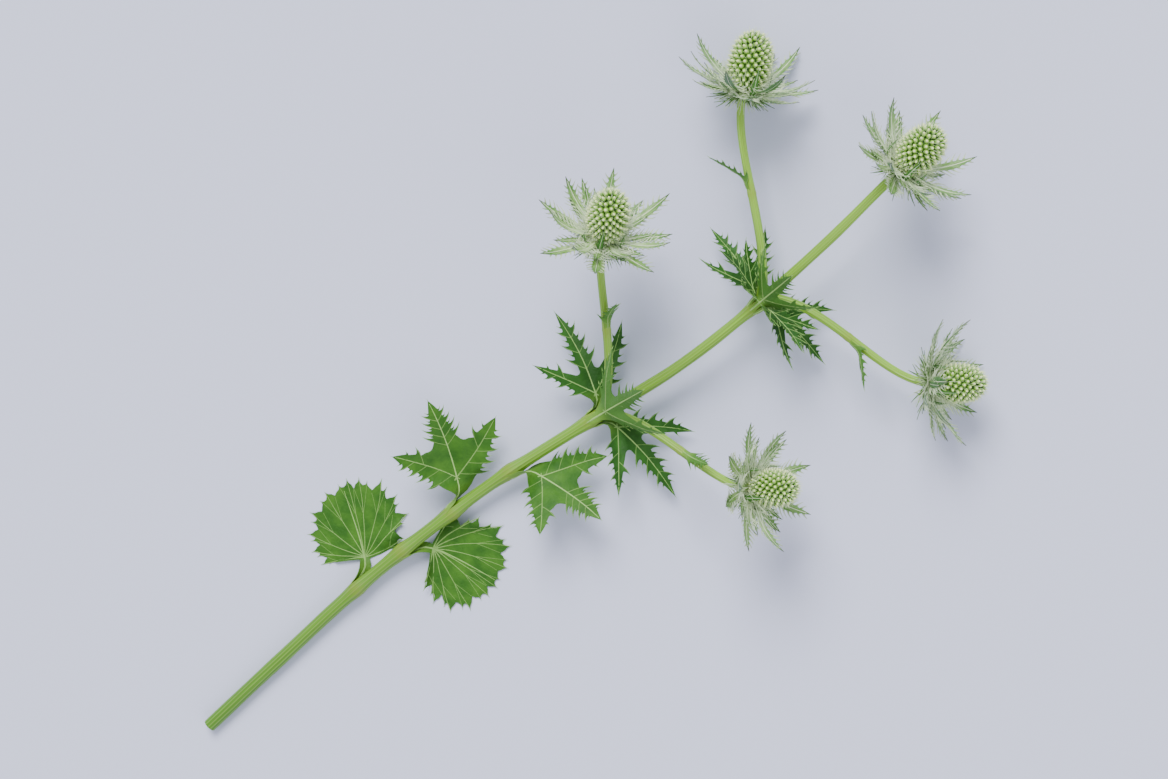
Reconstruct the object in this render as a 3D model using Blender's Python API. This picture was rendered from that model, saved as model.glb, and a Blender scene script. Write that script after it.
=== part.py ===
"""A cut stem of sea holly lying on a surface.

The stem lies along +Y with its cut end at -Y, and +Z is up from the surface.
Sizes are in millimetres until the meshes are made, where MM turns them into metres.
"""

import math
import random

import bmesh
import bpy
from mathutils import Matrix, Vector
from mathutils.geometry import delaunay_2d_cdt

MM = 0.001

# What the whole stem is laid out from
NAME = "sea_holly_stem"
CENTRE = Vector((0.1, 290.8, 0.0))
SEAT_GAP = 0.3
BLADE = 0.6
FLOOR = BLADE / 2

# The main stem, from its cut end to the terminal head
MAIN_ROUTE = (
    (12, 26, 3.7),
    (6, 80, 4.6),
    (-1, 150, 6.6),
    (-3, 230, 10.0),
    (1, 300, 15.0),
    (6, 360, 20.5),
    (5, 410, 26.0),
    (0, 466, 33.0),
    (-5, 520, 44.0),
)
MAIN_RADIUS = 3.5
MAIN_TIP_RADIUS = 2.0
TAPER_LENGTH = 560.0
TAPER_POWER = 1.6
NODE_SWELLING = 0.9
NODE_WIDTH = 7.0
STEM_NODES = (118.0, 152.0, 188.0, 228.0, 282.0, 392.0)
ROUTE_STEPS = 160
TUBE_STEP = 26.0
NODE_STEPS = (-9.0, -3.0, 3.0, 9.0)
STRAIGHT_END = 14.0

# Each head: where its collar sits, the way the cone points, and its size
HEADS = (
    ((-8.0, 524.0, 46.0), (-0.12, 0.90, 0.42), 1.0),
    ((-90.0, 480.0, 26.9), (-0.60, 0.76, 0.22), 1.05),
    ((92.0, 468.0, 26.3), (0.58, 0.79, 0.18), 0.94),
    ((-72.0, 380.0, 60.0), (-0.42, 0.68, 0.60), 1.02),
    ((80.0, 362.0, 48.0), (0.46, 0.74, 0.48), 0.92),
)

# Each side stem: the head it carries, its distance up the main stem, azimuth, and how far it leans out
SIDE_STEMS = (
    (1, 397.0, 182.0, 40.0),
    (2, 400.0, -4.0, 42.0),
    (3, 288.0, 148.0, 36.0),
    (4, 291.0, 28.0, 36.0),
)
SIDE_RADIUS = 2.3
SIDE_TIP_RADIUS = 1.9
SIDE_TAPER = 0.004
SIDE_POINTS = 12

# The cone of buds
CONE_LENGTH = 28.0
CONE_RADIUS = 10.2
CONE_WIDEST = 11.0
CONE_BASE_DEPTH = 14.0
ROW_STEP = 2.9
NARROWEST_ROW = 3.4
BUDS_ROUND = 13
BUD_HEIGHT = 0.5
CONE_CAP = 0.5

# The collar that the bracts grow on
COLLAR_RADIUS = 5.2
COLLAR_WAIST = 2.6
COLLAR_TOP = 1.2
COLLAR_BOTTOM = -2.4
COLLAR_SIDES = 10

# The long bracts, in two layers
BRACTS_ROUND = 7
BRACT_LAYERS = (
    # first azimuth, height of the roots, lean at the root and the tip, length, lift off the surface
    (0.0, 0.0, 84.0, 36.0, 37.0, 1.5),
    (26.0, -1.0, 96.0, 62.0, 34.0, 0.0),
)
BRACT_HALF_WIDTH = 2.0
BRACT_ROOT_HALF_WIDTH = 1.4
BRACT_ROOT_OUT = 3.4
BRACT_TEETH = 3
BRACT_SPINE = 5.4
BRACT_SPINE_ROOT = 2.0
BRACT_CUP = 0.05
BRACT_LIFT = 0.75
CURLED_MOST = -40.0

# The thin lobes under them, and the short bracts against the cone
SKIRT_LOBES = 7
SKIRT_HALF_WIDTH = 0.75
SKIRT_LENGTHS = (13.0, 19.0)
SKIRT_LEANS = (106.0, 122.0)
SHORT_BRACTS = (75.0, 220.0)
SHORT_LENGTH = 24.0

# Leaves, each with its place on the stem and its shape; cup is how far a blade is rolled across
LOWER_LEAVES = (
    # kind, distance, azimuth, spread, droop, cup, face-up, size, height above the surface
    ("fan", 114.0, 212.0, 66.0, 0.1, 0.002, 106.0, 1.0, 0.0),
    ("fan", 148.0, -26.0, 62.0, 0.2, 0.008, 96.0, 0.94, 0.5),
    ("cut", 184.0, 168.0, 58.0, 0.3, 0.012, 80.0, 1.15, 0.5),
    ("cut", 224.0, 20.0, 54.0, 0.3, 0.012, 76.0, 1.08, 0.5),
)
MIDDLE_NODE = 278.0
MIDDLE_LEAVES = (
    # azimuth, spread, droop, face-up, length
    (188.0, 72.0, 0.4, 62.0, 66.0),
    (-8.0, 70.0, 0.4, 62.0, 66.0),
    (90.0, 36.0, 0.3, 0.0, 66.0),
)
WHORL_NODE = 388.0
WHORL_LEAVES = (
    # azimuth, spread, droop, face-up, length
    (-22.0, 84.0, 0.3, 50.0, 54.0),
    (36.0, 72.0, 0.4, 20.0, 46.0),
    (90.0, 36.0, 0.4, 0.0, 54.0),
    (144.0, 70.0, 0.4, 20.0, 46.0),
    (202.0, 84.0, 0.3, 50.0, 54.0),
)
SIDE_LEAVES = (
    # side stem, part of its length, azimuth, spread
    (0, 0.52, 150.0, 46.0),
    (1, 0.50, 40.0, 46.0),
    (2, 0.48, 60.0, 44.0),
    (3, 0.52, 110.0, 44.0),
)
SIDE_LEAF_LENGTH = 30.0
LEAF_CLEARANCE = 0.5


def empty_the_scene():
    for thing in list(bpy.data.objects):
        bpy.data.objects.remove(thing, do_unlink=True)


def new_collection(name):
    group = bpy.data.collections.new(name)
    bpy.context.scene.collection.children.link(group)
    return group


def plain_material(name, colour, roughness):
    material = bpy.data.materials.new(name)
    material.use_nodes = True
    shader = material.node_tree.nodes["Principled BSDF"]
    shader.inputs["Base Color"].default_value = (*colour, 1.0)
    shader.inputs["Roughness"].default_value = roughness
    shader.inputs["Metallic"].default_value = 0.0
    return material


def smooth_route(points, count):
    """Points at even steps along a smooth curve through the given points."""
    corners = [Vector(point) for point in points]
    corners.insert(0, corners[0] * 2 - corners[1])
    corners.append(corners[-1] * 2 - corners[-2])
    spans = len(corners) - 3
    route = []
    for step in range(count):
        place = spans * step / (count - 1)
        span = min(int(place), spans - 1)
        t = place - span
        a, b, c, d = corners[span:span + 4]
        route.append(0.5 * (2 * b + (c - a) * t + (2 * a - 5 * b + 4 * c - d) * t ** 2
                            + (3 * b - a - 3 * c + d) * t ** 3))
    return route


def frame_round(point, direction, azimuth):
    """Point, direction, outward and sideways; azimuth 0 is to the right and 90 is up."""
    right = direction.cross(Vector((0, 0, 1))).normalized()
    up = right.cross(direction)
    turn = math.radians(azimuth)
    outward = right * math.cos(turn) + up * math.sin(turn)
    return point, direction, outward, direction.cross(outward)


class Stem:
    """A round stem: its route, and its radius at each distance along it."""

    def __init__(self, route, radius_at):
        self.route = route
        self.radius_at = radius_at
        self.distances = [0.0]
        for before, after in zip(route, route[1:]):
            self.distances.append(self.distances[-1] + (after - before).length)
        self.length = self.distances[-1]

    def at(self, distance):
        """The point on the axis and the direction of the stem at a distance from its lower end."""
        distance = min(max(distance, 0.0), self.length - 0.001)
        span = max(i for i, start in enumerate(self.distances[:-1]) if start <= distance)
        run = self.distances[span + 1] - self.distances[span]
        direction = (self.route[span + 1] - self.route[span]).normalized()
        point = self.route[span].lerp(self.route[span + 1], (distance - self.distances[span]) / run)
        return point, direction

    def frame(self, distance, azimuth):
        point, direction = self.at(distance)
        return frame_round(point, direction, azimuth)


def main_radius(distance):
    taper = min(distance / TAPER_LENGTH, 1.0)
    radius = MAIN_RADIUS + (MAIN_TIP_RADIUS - MAIN_RADIUS) * taper ** TAPER_POWER
    for node in STEM_NODES:
        radius += NODE_SWELLING * math.exp(-((distance - node) / NODE_WIDTH) ** 2)
    return radius


def side_radius(distance):
    return max(SIDE_RADIUS - SIDE_TAPER * distance, SIDE_TIP_RADIUS)


def even_stations(stem, nodes=()):
    """Distances for a tube's rings: even steps, with closer ones round each node."""
    rings = [stem.length, stem.length - STRAIGHT_END]
    for node in nodes:
        rings += [node + step for step in NODE_STEPS]
    for number in range(int(stem.length / TUBE_STEP) + 1):
        distance = number * TUBE_STEP
        if all(abs(distance - ring) > TUBE_STEP * 0.4 for ring in rings):
            rings.append(distance)
    return sorted(rings)


def tube(name, stem, stations, extra=0.0):
    """A curve object along a stem, made thicker by extra."""
    curve = bpy.data.curves.new(name, "CURVE")
    curve.dimensions = "3D"
    curve.bevel_depth = MM
    curve.bevel_resolution = 2
    curve.use_fill_caps = True
    spline = curve.splines.new("POLY")
    spline.points.add(len(stations) - 1)
    for point, distance in zip(spline.points, stations):
        point.co = (*(stem.at(distance)[0] * MM), 1.0)
        point.radius = stem.radius_at(distance) + extra
    return bpy.data.objects.new(name, curve)


def as_mesh_object(thing, group):
    """The thing's evaluated shape as a closed mesh object of the same name, in its place."""
    group.objects.link(thing)
    bpy.context.view_layer.update()
    evaluated = thing.evaluated_get(bpy.context.evaluated_depsgraph_get())
    mesh = bpy.data.meshes.new_from_object(evaluated)
    name = thing.name
    bpy.data.objects.remove(thing, do_unlink=True)
    shape = bmesh.new()
    shape.from_mesh(mesh)
    bmesh.ops.remove_doubles(shape, verts=shape.verts[:], dist=0.00001)
    shape.to_mesh(mesh)
    shape.free()
    solid = bpy.data.objects.new(name, mesh)
    group.objects.link(solid)
    return solid


def boolean(body, others, operation, solver):
    """Join the others to the body, or cut them from it, then remove them."""
    gathered = new_collection("gathered")
    for other in others:
        gathered.objects.link(other)
    modifier = body.modifiers.new(operation.lower(), "BOOLEAN")
    modifier.operation = operation
    modifier.operand_type = "COLLECTION"
    modifier.collection = gathered
    modifier.solver = solver
    bpy.context.view_layer.update()
    evaluated = body.evaluated_get(bpy.context.evaluated_depsgraph_get())
    mesh = bpy.data.meshes.new_from_object(evaluated)
    body.modifiers.remove(modifier)
    body.data = mesh
    for other in others:
        bpy.data.objects.remove(other, do_unlink=True)
    bpy.data.collections.remove(gathered)


class Rib:
    """The midrib of a blade, in the plane of its stem and its outward direction.

    lean_at gives the angle in degrees between the midrib and the stem at each distance.
    """

    STEP = 0.5

    def __init__(self, length, start_out, start_along, lean_at):
        self.places = [(start_out, start_along, math.radians(lean_at(0.0)))]
        for number in range(int(length / self.STEP) + 2):
            out, along, lean = self.places[-1]
            out += math.sin(lean) * self.STEP
            along += math.cos(lean) * self.STEP
            self.places.append((out, along, math.radians(lean_at((number + 1) * self.STEP))))

    def at(self, distance):
        place = max(distance, 0.0) / self.STEP
        index = min(int(place), len(self.places) - 2)
        part = place - index
        before = self.places[index]
        after = self.places[index + 1]
        return tuple(a + (b - a) * part for a, b in zip(before, after))


def bender(frame, rib, wrap_at, floor, twist_at=None):
    """A function that takes a point of a flat blade (along, across) to its place in the world.

    wrap_at gives how tightly the blade is rolled across, as one over the radius, and twist_at how
    far it is turned about its midrib, in radians.
    """
    point, direction, outward, sideways = frame

    def place(along, across):
        out, forward, lean = rib.at(along)
        inward = direction * math.sin(lean) - outward * math.cos(lean)
        twist = twist_at(along) if twist_at else 0.0
        beside = sideways * math.cos(twist) + inward * math.sin(twist)
        above = inward * math.cos(twist) - sideways * math.sin(twist)
        wrap = max(wrap_at(along), 0.0001)
        world = point + direction * forward + outward * out
        world += beside * (math.sin(across * wrap) / wrap)
        world += above * ((1 - math.cos(across * wrap)) / wrap)
        world.z = max(world.z, floor)
        return world

    return place


def blade_object(name, outline, inner, place):
    """A thin solid: an outline with inner points, split into triangles, bent by place and thickened."""
    flat = [Vector(point) for point in outline + inner]
    border = [(i, (i + 1) % len(outline)) for i in range(len(outline))]
    points, _, triangles, *_ = delaunay_2d_cdt(flat, border, [], 1, 0.0001)
    sheet = bmesh.new()
    corners = [sheet.verts.new(place(point.x, point.y)) for point in points]
    for triangle in triangles:
        sheet.faces.new([corners[i] for i in triangle])
    sheet.normal_update()
    lifts = [corner.normal * BLADE / 2 for corner in corners]
    for corner, lift in zip(corners, lifts):
        corner.co += lift
    bmesh.ops.solidify(sheet, geom=sheet.faces[:], thickness=BLADE)
    return mesh_object(name, sheet)


def mesh_object(name, shape):
    """A mesh object from a bmesh in millimetres."""
    bmesh.ops.scale(shape, vec=(MM, MM, MM), verts=shape.verts[:])
    mesh = bpy.data.meshes.new(name)
    shape.to_mesh(mesh)
    shape.free()
    return bpy.data.objects.new(name, mesh)


def spiny_edge(length, half_width, teeth, reach, first, last, root):
    """One edge of a spiny lobe, from near its root to its tip, as (along, across) points.

    Each tooth is a slender spine that leans forward from a short root.
    """
    step = (last - first) / teeth
    points = []
    for tooth in range(teeth):
        start = first + step * tooth
        width = half_width * (1 - start) ** 0.6
        spine = reach * (1 - 0.45 * tooth / teeth)
        points.append((start * length, width))
        points.append((start * length + root + spine * 0.7, width + spine * 0.8))
        points.append((start * length + root, width * 0.95))
    points.append((length, 0.0))
    return points


def mirrored(edge):
    """The other edge of a lobe, from its tip back to its root, without the tip itself."""
    return [(along, -across) for along, across in reversed(edge[:-1])]


def bract_outline(length):
    """A narrow blade whose spines stand in turn on one edge and the other."""
    edge = spiny_edge(length, BRACT_HALF_WIDTH, BRACT_TEETH, BRACT_SPINE, 0.10, 0.80, BRACT_SPINE_ROOT)
    other = spiny_edge(length, BRACT_HALF_WIDTH, BRACT_TEETH, BRACT_SPINE, 0.20, 0.88, BRACT_SPINE_ROOT)
    outline = [(0.0, BRACT_ROOT_HALF_WIDTH)] + edge
    outline += mirrored(other) + [(0.0, -BRACT_ROOT_HALF_WIDTH)]
    inner = [(length * part, 0.0) for part in (0.25, 0.55)]
    return outline, inner


def rested(head_frame, length, start_lean, end_lean, root, height, floor):
    """The midrib of a bract, curled forward until it stays above the surface."""
    point, direction, outward, _ = head_frame
    while True:
        def lean_at(distance, end=end_lean):
            return start_lean + (end - start_lean) * distance / length
        rib = Rib(length, root, height, lean_at)
        low = min((point + direction * along + outward * out).z for out, along, _ in rib.places)
        if low >= floor or end_lean < CURLED_MOST:
            return rib
        end_lean -= 1


def skirt_lobe(head_frame, length, lean):
    """A thin bristle-like lobe under the bracts, swept back a little."""
    width = SKIRT_HALF_WIDTH
    outline = [(0.0, width), (length * 0.45, width * 0.8), (length, 0.0)]
    outline += [(length * 0.5, -width * 0.8), (0.0, -width)]
    floor = FLOOR + 0.1
    rib = rested(head_frame, length, lean, lean - 12, COLLAR_WAIST, -1.5, floor)
    return blade_object("lobe", outline, [], bender(head_frame, rib, nearly_flat, floor))


def nearly_flat(_along):
    return 0.02


def short_bract(head_frame, size):
    """A short bract that leaves the collar flat, then rises along the cone."""
    outline = [(0.0, 1.0), (7.0, 1.4), (13.0, 1.6), (18.0, 1.1), (SHORT_LENGTH, 0.0)]
    outline += mirrored(outline)
    rib = Rib(SHORT_LENGTH, 3.6 + 12.0 * (size - 1.0), -0.2, rising_lean)
    place = bender(head_frame, rib, round_the_cone, FLOOR + 0.1)
    return blade_object("bract", outline, [(6.0, 0.0), (9.5, 0.0), (13.0, 0.0)], place)


def rising_lean(distance):
    return min(max(90.0 - (distance - 4.6) * 13.3, 0.0), 90.0)


def round_the_cone(_along):
    return 0.08


def head_frame_at(head, azimuth):
    return frame_round(Vector(HEADS[head][0]), Vector(HEADS[head][1]).normalized(), azimuth)


def head_matrix(head):
    """Turns a shape made round +Z, with the collar's middle at the origin, onto a head."""
    point, direction, right, _ = head_frame_at(head, 0)
    up = direction.cross(right)
    turn = Matrix((right, up, direction)).transposed()
    return Matrix.Translation(point) @ turn.to_4x4()


def collar(head):
    shape = bmesh.new()
    profile = (
        (COLLAR_WAIST, COLLAR_BOTTOM),
        (COLLAR_RADIUS, -1.2),
        (COLLAR_RADIUS, 0.4),
        (COLLAR_RADIUS - 0.7, COLLAR_TOP),
    )
    edges = []
    for (low_radius, low), (high_radius, high) in zip(profile, profile[1:]):
        a = shape.verts.new((low_radius, 0, low))
        b = shape.verts.new((high_radius, 0, high))
        edges.append(shape.edges.new((a, b)))
    bmesh.ops.spin(shape, geom=shape.verts[:] + edges, axis=(0, 0, 1), cent=(0, 0, 0),
                   angle=math.tau, steps=COLLAR_SIDES)
    bmesh.ops.remove_doubles(shape, verts=shape.verts[:], dist=0.01)
    bmesh.ops.holes_fill(shape, edges=shape.edges[:])
    bmesh.ops.recalc_face_normals(shape, faces=shape.faces[:])
    bmesh.ops.transform(shape, matrix=head_matrix(head), verts=shape.verts[:])
    return mesh_object("bract_ruff_%d" % (head + 1), shape)


def bract_layer(head, layer, draw):
    """One ring of long spiny bracts, those that reach the surface curled so that they rest on it."""
    first, height, start_lean, end_lean, length, lift = layer
    blades = []
    for number in range(BRACTS_ROUND):
        frame = head_frame_at(head, first + 360.0 * number / BRACTS_ROUND + draw.uniform(-5, 5))
        long = length * HEADS[head][2] * draw.uniform(0.88, 1.08)
        start = start_lean + draw.uniform(-4, 4)
        end = end_lean + draw.uniform(-8, 8)
        floor = FLOOR + 0.05 + BRACT_LIFT * ((number + 1) % 2) + lift
        rib = rested(frame, long, start, end, BRACT_ROOT_OUT, height, floor)
        outline, inner = bract_outline(long)
        place = bender(frame, rib, lambda _along: BRACT_CUP, floor)
        blades.append(blade_object("bract", outline, inner, place))
    return blades


def bract_ruff(head, group, material):
    """Two layers of spiny bracts, a skirt of thin lobes and two short bracts, on one collar."""
    draw = random.Random(100 + head)
    blades = []
    for layer in BRACT_LAYERS:
        blades += bract_layer(head, layer, draw)
    for number in range(SKIRT_LOBES):
        azimuth = 14.0 + 360.0 * number / SKIRT_LOBES + draw.uniform(-6, 6)
        length = draw.uniform(*SKIRT_LENGTHS)
        blades.append(skirt_lobe(head_frame_at(head, azimuth), length, draw.uniform(*SKIRT_LEANS)))
    for azimuth in SHORT_BRACTS:
        frame = head_frame_at(head, azimuth + draw.uniform(-20, 20))
        blades.append(short_bract(frame, HEADS[head][2]))
    ruff = collar(head)
    group.objects.link(ruff)
    boolean(ruff, blades, "UNION", "MANIFOLD")
    ruff.data.materials.append(material)


def cone_radius(height):
    """Half the width of the cone at a height, without the buds' points."""
    if height < CONE_WIDEST:
        return CONE_RADIUS * math.sqrt(1 - ((CONE_WIDEST - height) / CONE_BASE_DEPTH) ** 2)
    part = (height - CONE_WIDEST) / (CONE_LENGTH - CONE_WIDEST)
    return CONE_RADIUS * math.sqrt(max(1 - part ** 2.4, 0.0))


def cone_heights():
    """Heights of the rows, closer together where the cone is narrower."""
    heights = [0.0]
    while heights[-1] < CONE_LENGTH - CONE_CAP * 1.6:
        radius = max(cone_radius(heights[-1] + ROW_STEP / 2), NARROWEST_ROW)
        heights.append(heights[-1] + ROW_STEP * radius / CONE_RADIUS)
    scale = (CONE_LENGTH - CONE_CAP) / heights[-1]
    return [height * scale for height in heights]


def flower_cone(head, group, material):
    """A cone covered in pointed buds, in rows that are each shifted by half a bud."""
    shape = bmesh.new()
    heights = cone_heights()
    rows = []
    for row, height in enumerate(heights):
        ring = []
        for bud in range(BUDS_ROUND):
            turn = math.tau * (bud + 0.5 * (row % 2)) / BUDS_ROUND
            radius = cone_radius(height)
            ring.append(shape.verts.new((radius * math.cos(turn), radius * math.sin(turn), height)))
        rows.append(ring)
    buds = []
    for row in range(len(rows) - 2):
        odd = row % 2
        for bud in range(BUDS_ROUND):
            left = rows[row + 1][(bud - 1 + odd) % BUDS_ROUND]
            right = rows[row + 1][(bud + odd) % BUDS_ROUND]
            buds.append(shape.faces.new((rows[row][bud], right, rows[row + 2][bud], left)))
    close_cone_end(shape, rows[0], rows[1], 0)
    close_cone_end(shape, rows[-1], rows[-2], (len(rows) - 1) % 2)
    bmesh.ops.recalc_face_normals(shape, faces=shape.faces[:])
    bmesh.ops.poke(shape, faces=buds, offset=BUD_HEIGHT, use_relative_offset=True)
    seat = Matrix.Translation((0, 0, COLLAR_TOP + SEAT_GAP)) @ Matrix.Scale(HEADS[head][2], 4)
    bmesh.ops.transform(shape, matrix=head_matrix(head) @ seat, verts=shape.verts[:])
    cone = mesh_object("flower_cone_%d" % (head + 1), shape)
    cone.data.materials.append(material)
    group.objects.link(cone)


def close_cone_end(shape, end_row, next_row, odd):
    """Half buds between the last two rows, and a flat cap."""
    for bud in range(BUDS_ROUND):
        apex = next_row[(bud + odd) % BUDS_ROUND]
        shape.faces.new((end_row[bud], end_row[(bud + 1) % BUDS_ROUND], apex))
    shape.faces.new(end_row)


def leaf_lean(sheath, opening, spread, droop):
    """A leaf runs up its stem along a sheath, opens to its spread, then droops."""
    def lean_at(distance):
        part = min(max((distance - sheath) / opening, 0.0), 1.0)
        return spread * part * part * (3 - 2 * part) + droop * max(distance - sheath, 0.0)
    return lean_at


def leaf_twist(sheath, opening, azimuth, face_up):
    """A leaf at the side of the stem turns its upper face towards the sky."""
    def twist_at(distance):
        part = min(max((distance - sheath) / (opening * 1.5), 0.0), 1.0)
        return math.radians(face_up) * math.cos(math.radians(azimuth)) * part * part * (3 - 2 * part)
    return twist_at


def leaf_wrap(sheath, opening, stem_radius, cup):
    """A leaf is rolled round its stem at its base and opens to a slight cup."""
    def wrap_at(distance):
        part = min(max((distance - sheath) / opening, 0.0), 1.0)
        return (1 - part) / stem_radius + cup * part
    return wrap_at


def leaf(name, stem, distance, azimuth, outline, inner, shape, group, material, floor):
    """One leaf on a stem; shape is its length, sheath, opening, spread, droop, cup and face-up."""
    length, sheath, opening, spread, droop, cup, face_up = shape
    frame = stem.frame(distance, azimuth)
    radius = max(stem.radius_at(distance + step) for step in (0.0, sheath / 2, sheath))
    start = radius + SEAT_GAP + BLADE / 2
    rib = Rib(length, start, 0.0, leaf_lean(sheath, opening, spread, droop))
    wrap_at = leaf_wrap(sheath, opening, start, cup)
    place = bender(frame, rib, wrap_at, floor, leaf_twist(sheath, opening, azimuth, face_up))
    made = blade_object(name, outline, inner, place)
    made.data.materials.append(material)
    group.objects.link(made)


def base_edge(base):
    """The lower end of a leaf, which lies round its stem."""
    return [(0.0, -base), (0.0, -base / 2), (0.0, 0.0), (0.0, base / 2), (0.0, base)]


def turned(points, degrees, fork):
    """Lobe points turned about the fork of a leaf."""
    turn = math.radians(degrees)
    return [(fork + along * math.cos(turn) - across * math.sin(turn),
             along * math.sin(turn) + across * math.cos(turn)) for along, across in points]


def cut_leaf(length, fork, base, lobe_width, reach, side_angle, side_part=0.8):
    """A leaf cut into three spiny lobes, as an outline and inner points."""
    middle = length - fork
    side = middle * side_part
    root = reach * 0.6
    bay = lobe_width / math.tan(math.radians(side_angle / 2)) * 1.15
    outer = spiny_edge(side, lobe_width, 3, reach, 0.2, 0.9, root)
    inner_side = spiny_edge(side, lobe_width, 1, reach * 0.8, max(bay / side * 1.1, 0.55), 0.92, root)
    edge = spiny_edge(middle, lobe_width * 1.1, 3, reach, max(bay / middle * 1.1, 0.36), 0.94, root)
    right = turned(mirrored(outer)[::-1], -side_angle, fork)
    right += turned([(side, 0.0)], -side_angle, fork)
    right += turned(inner_side[:-1][::-1], -side_angle, fork)
    notch_right = turned([(bay, 0.0)], -side_angle / 2, fork)
    centre = mirrored(edge)[::-1] + [(middle, 0.0)] + edge[:-1][::-1]
    notch_left = turned([(bay, 0.0)], side_angle / 2, fork)
    left = [(along, -across) for along, across in reversed(right)]
    outline = [(fork * 0.55, base * 0.9)] + base_edge(base)[::-1] + [(fork * 0.55, -base * 0.9)]
    outline += right + notch_right + turned(centre, 0, fork) + notch_left + left
    inner = [(fork * 0.4, 0.0), (fork * 0.8, 0.0), (fork + middle * 0.25, 0.0)]
    inner += [(fork + middle * 0.5, 0.0), (fork + middle * 0.75, 0.0)]
    for sign in (-1, 1):
        inner += turned([(side * 0.35, 0.0), (side * 0.65, 0.0)], sign * side_angle, fork)
    return outline, inner


def strap_leaf(length, base, half_width, teeth, reach):
    """A long leaf with spiny edges."""
    edge = spiny_edge(length, half_width, teeth, reach, 0.22, 0.92, reach * 0.6)
    outline = base_edge(base) + [(length * 0.1, base * 0.9)] + edge + mirrored(edge)
    outline += [(length * 0.1, -base * 0.9)]
    inner = [(length * part, 0.0) for part in (0.08, 0.16, 0.3, 0.45, 0.6, 0.75)]
    return outline, inner


def fan_leaf(stalk, radius, teeth, depth, base):
    """A broad leaf: a clasping stalk, then a round blade with spiny teeth."""
    centre = stalk + radius * 0.42
    sweep = math.radians(134)
    outline = [(stalk * 0.3, base * 0.9)] + base_edge(base)[::-1] + [(stalk * 0.3, -base * 0.9)]
    outline += [(stalk * 0.8, -2.6)]
    for tooth in range(teeth + 1):
        turn = -sweep + 2 * sweep * tooth / teeth
        reach = radius * (0.86 + 0.14 * math.cos(turn))
        if tooth:
            before = turn - sweep / teeth * (1.0 + 0.5 * math.copysign(1, turn - 0.001))
            tip = reach + depth
            outline.append((centre + tip * math.cos(before), tip * math.sin(before)))
        outline.append((centre + reach * math.cos(turn), reach * math.sin(turn)))
    outline += [(stalk * 0.8, 2.6)]
    inner = [(stalk * 0.3, 0.0), (stalk * 0.3, -base / 2), (stalk * 0.3, base / 2), (stalk * 0.8, 0.0)]
    inner += [(centre, 0.0)]
    for spoke in range(7):
        turn = math.radians(-120 + 40 * spoke)
        inner.append((centre + radius * 0.5 * math.cos(turn), radius * 0.5 * math.sin(turn)))
    return outline, inner


def lower_leaves(main, group, material):
    """Broad leaves low on the main stem; the first lies flat on the surface."""
    for number, row in enumerate(LOWER_LEAVES):
        kind, distance, azimuth, spread, droop, cup, face_up, size, above = row
        if kind == "fan":
            outline, inner = fan_leaf(24 * size, 28 * size, 11, 5.5 * size, 5.0)
        else:
            outline, inner = cut_leaf(60 * size, 20 * size, 4.0, 7.6 * size, 4.6 * size, 50.0, 0.86)
        shape = (80.0, 6.0, 14.0, spread, droop, cup, face_up)
        leaf("lower_leaf_%d" % (number + 1), main, distance, azimuth, outline, inner, shape, group,
             material, FLOOR + above)


def middle_leaves(main, group, material):
    """Cut leaves at the lower branch node."""
    for number, (azimuth, spread, droop, face_up, length) in enumerate(MIDDLE_LEAVES):
        outline, inner = cut_leaf(length, 17.0, 2.6, 5.0, 5.2, 46.0)
        shape = (length + 4, 5.0, 12.0, spread, droop, 0.02, face_up)
        leaf("middle_leaf_%d" % (number + 1), main, MIDDLE_NODE, azimuth, outline, inner, shape, group,
             material, FLOOR + LEAF_CLEARANCE)


def whorl_leaves(main, group, material):
    """The whorl of cut leaves where the upper side stems leave."""
    for number, (azimuth, spread, droop, face_up, length) in enumerate(WHORL_LEAVES):
        outline, inner = cut_leaf(length, 13.0, 1.6, 3.8, 4.8, 44.0)
        shape = (length + 4, 4.0, 9.0, spread, droop, 0.03, face_up)
        leaf("whorl_leaf_%d" % (number + 1), main, WHORL_NODE, azimuth, outline, inner, shape, group,
             material, FLOOR + LEAF_CLEARANCE)


def side_leaves(stems, group, material):
    """One small spiny leaf part way up each side stem."""
    for number, (index, part, azimuth, spread) in enumerate(SIDE_LEAVES):
        stem = stems[index]
        outline, inner = strap_leaf(SIDE_LEAF_LENGTH, 2.0, 2.6, 3, 4.0)
        shape = (SIDE_LEAF_LENGTH + 2, 4.0, 8.0, spread, 0.3, 0.03, 0.0)
        leaf("side_leaf_%d" % (number + 1), stem, stem.length * part, azimuth, outline, inner, shape,
             group, material, FLOOR + LEAF_CLEARANCE)


def side_stem_route(main, head, distance, azimuth, lean):
    """A smooth route from inside the main stem to the underside of a head."""
    start, direction, outward, _ = main.frame(distance, azimuth)
    tilt = math.radians(lean)
    leaving = direction * math.cos(tilt) + outward * math.sin(tilt)
    facing = Vector(HEADS[head][1]).normalized()
    end = Vector(HEADS[head][0]) + facing * (COLLAR_BOTTOM - SEAT_GAP)
    reach = (end - start).length
    route = []
    for step in range(SIDE_POINTS + 1):
        t = step / SIDE_POINTS
        route.append(start * (2 * t ** 3 - 3 * t ** 2 + 1) + leaving * reach * (t ** 3 - 2 * t ** 2 + t)
                     + end * (3 * t ** 2 - 2 * t ** 3) + facing * reach * 0.8 * (t ** 3 - t ** 2))
    return route


def side_stem(number, stem, main, group, material):
    """A side stem, hollowed at its foot so that it sits round the main stem."""
    solid = as_mesh_object(tube("side_stem_%d" % number, stem, stem.distances), group)
    sleeve = as_mesh_object(tube("sleeve", main, even_stations(main, STEM_NODES), SEAT_GAP), group)
    boolean(solid, [sleeve], "DIFFERENCE", "EXACT")
    solid.data.materials.append(material)


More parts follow.
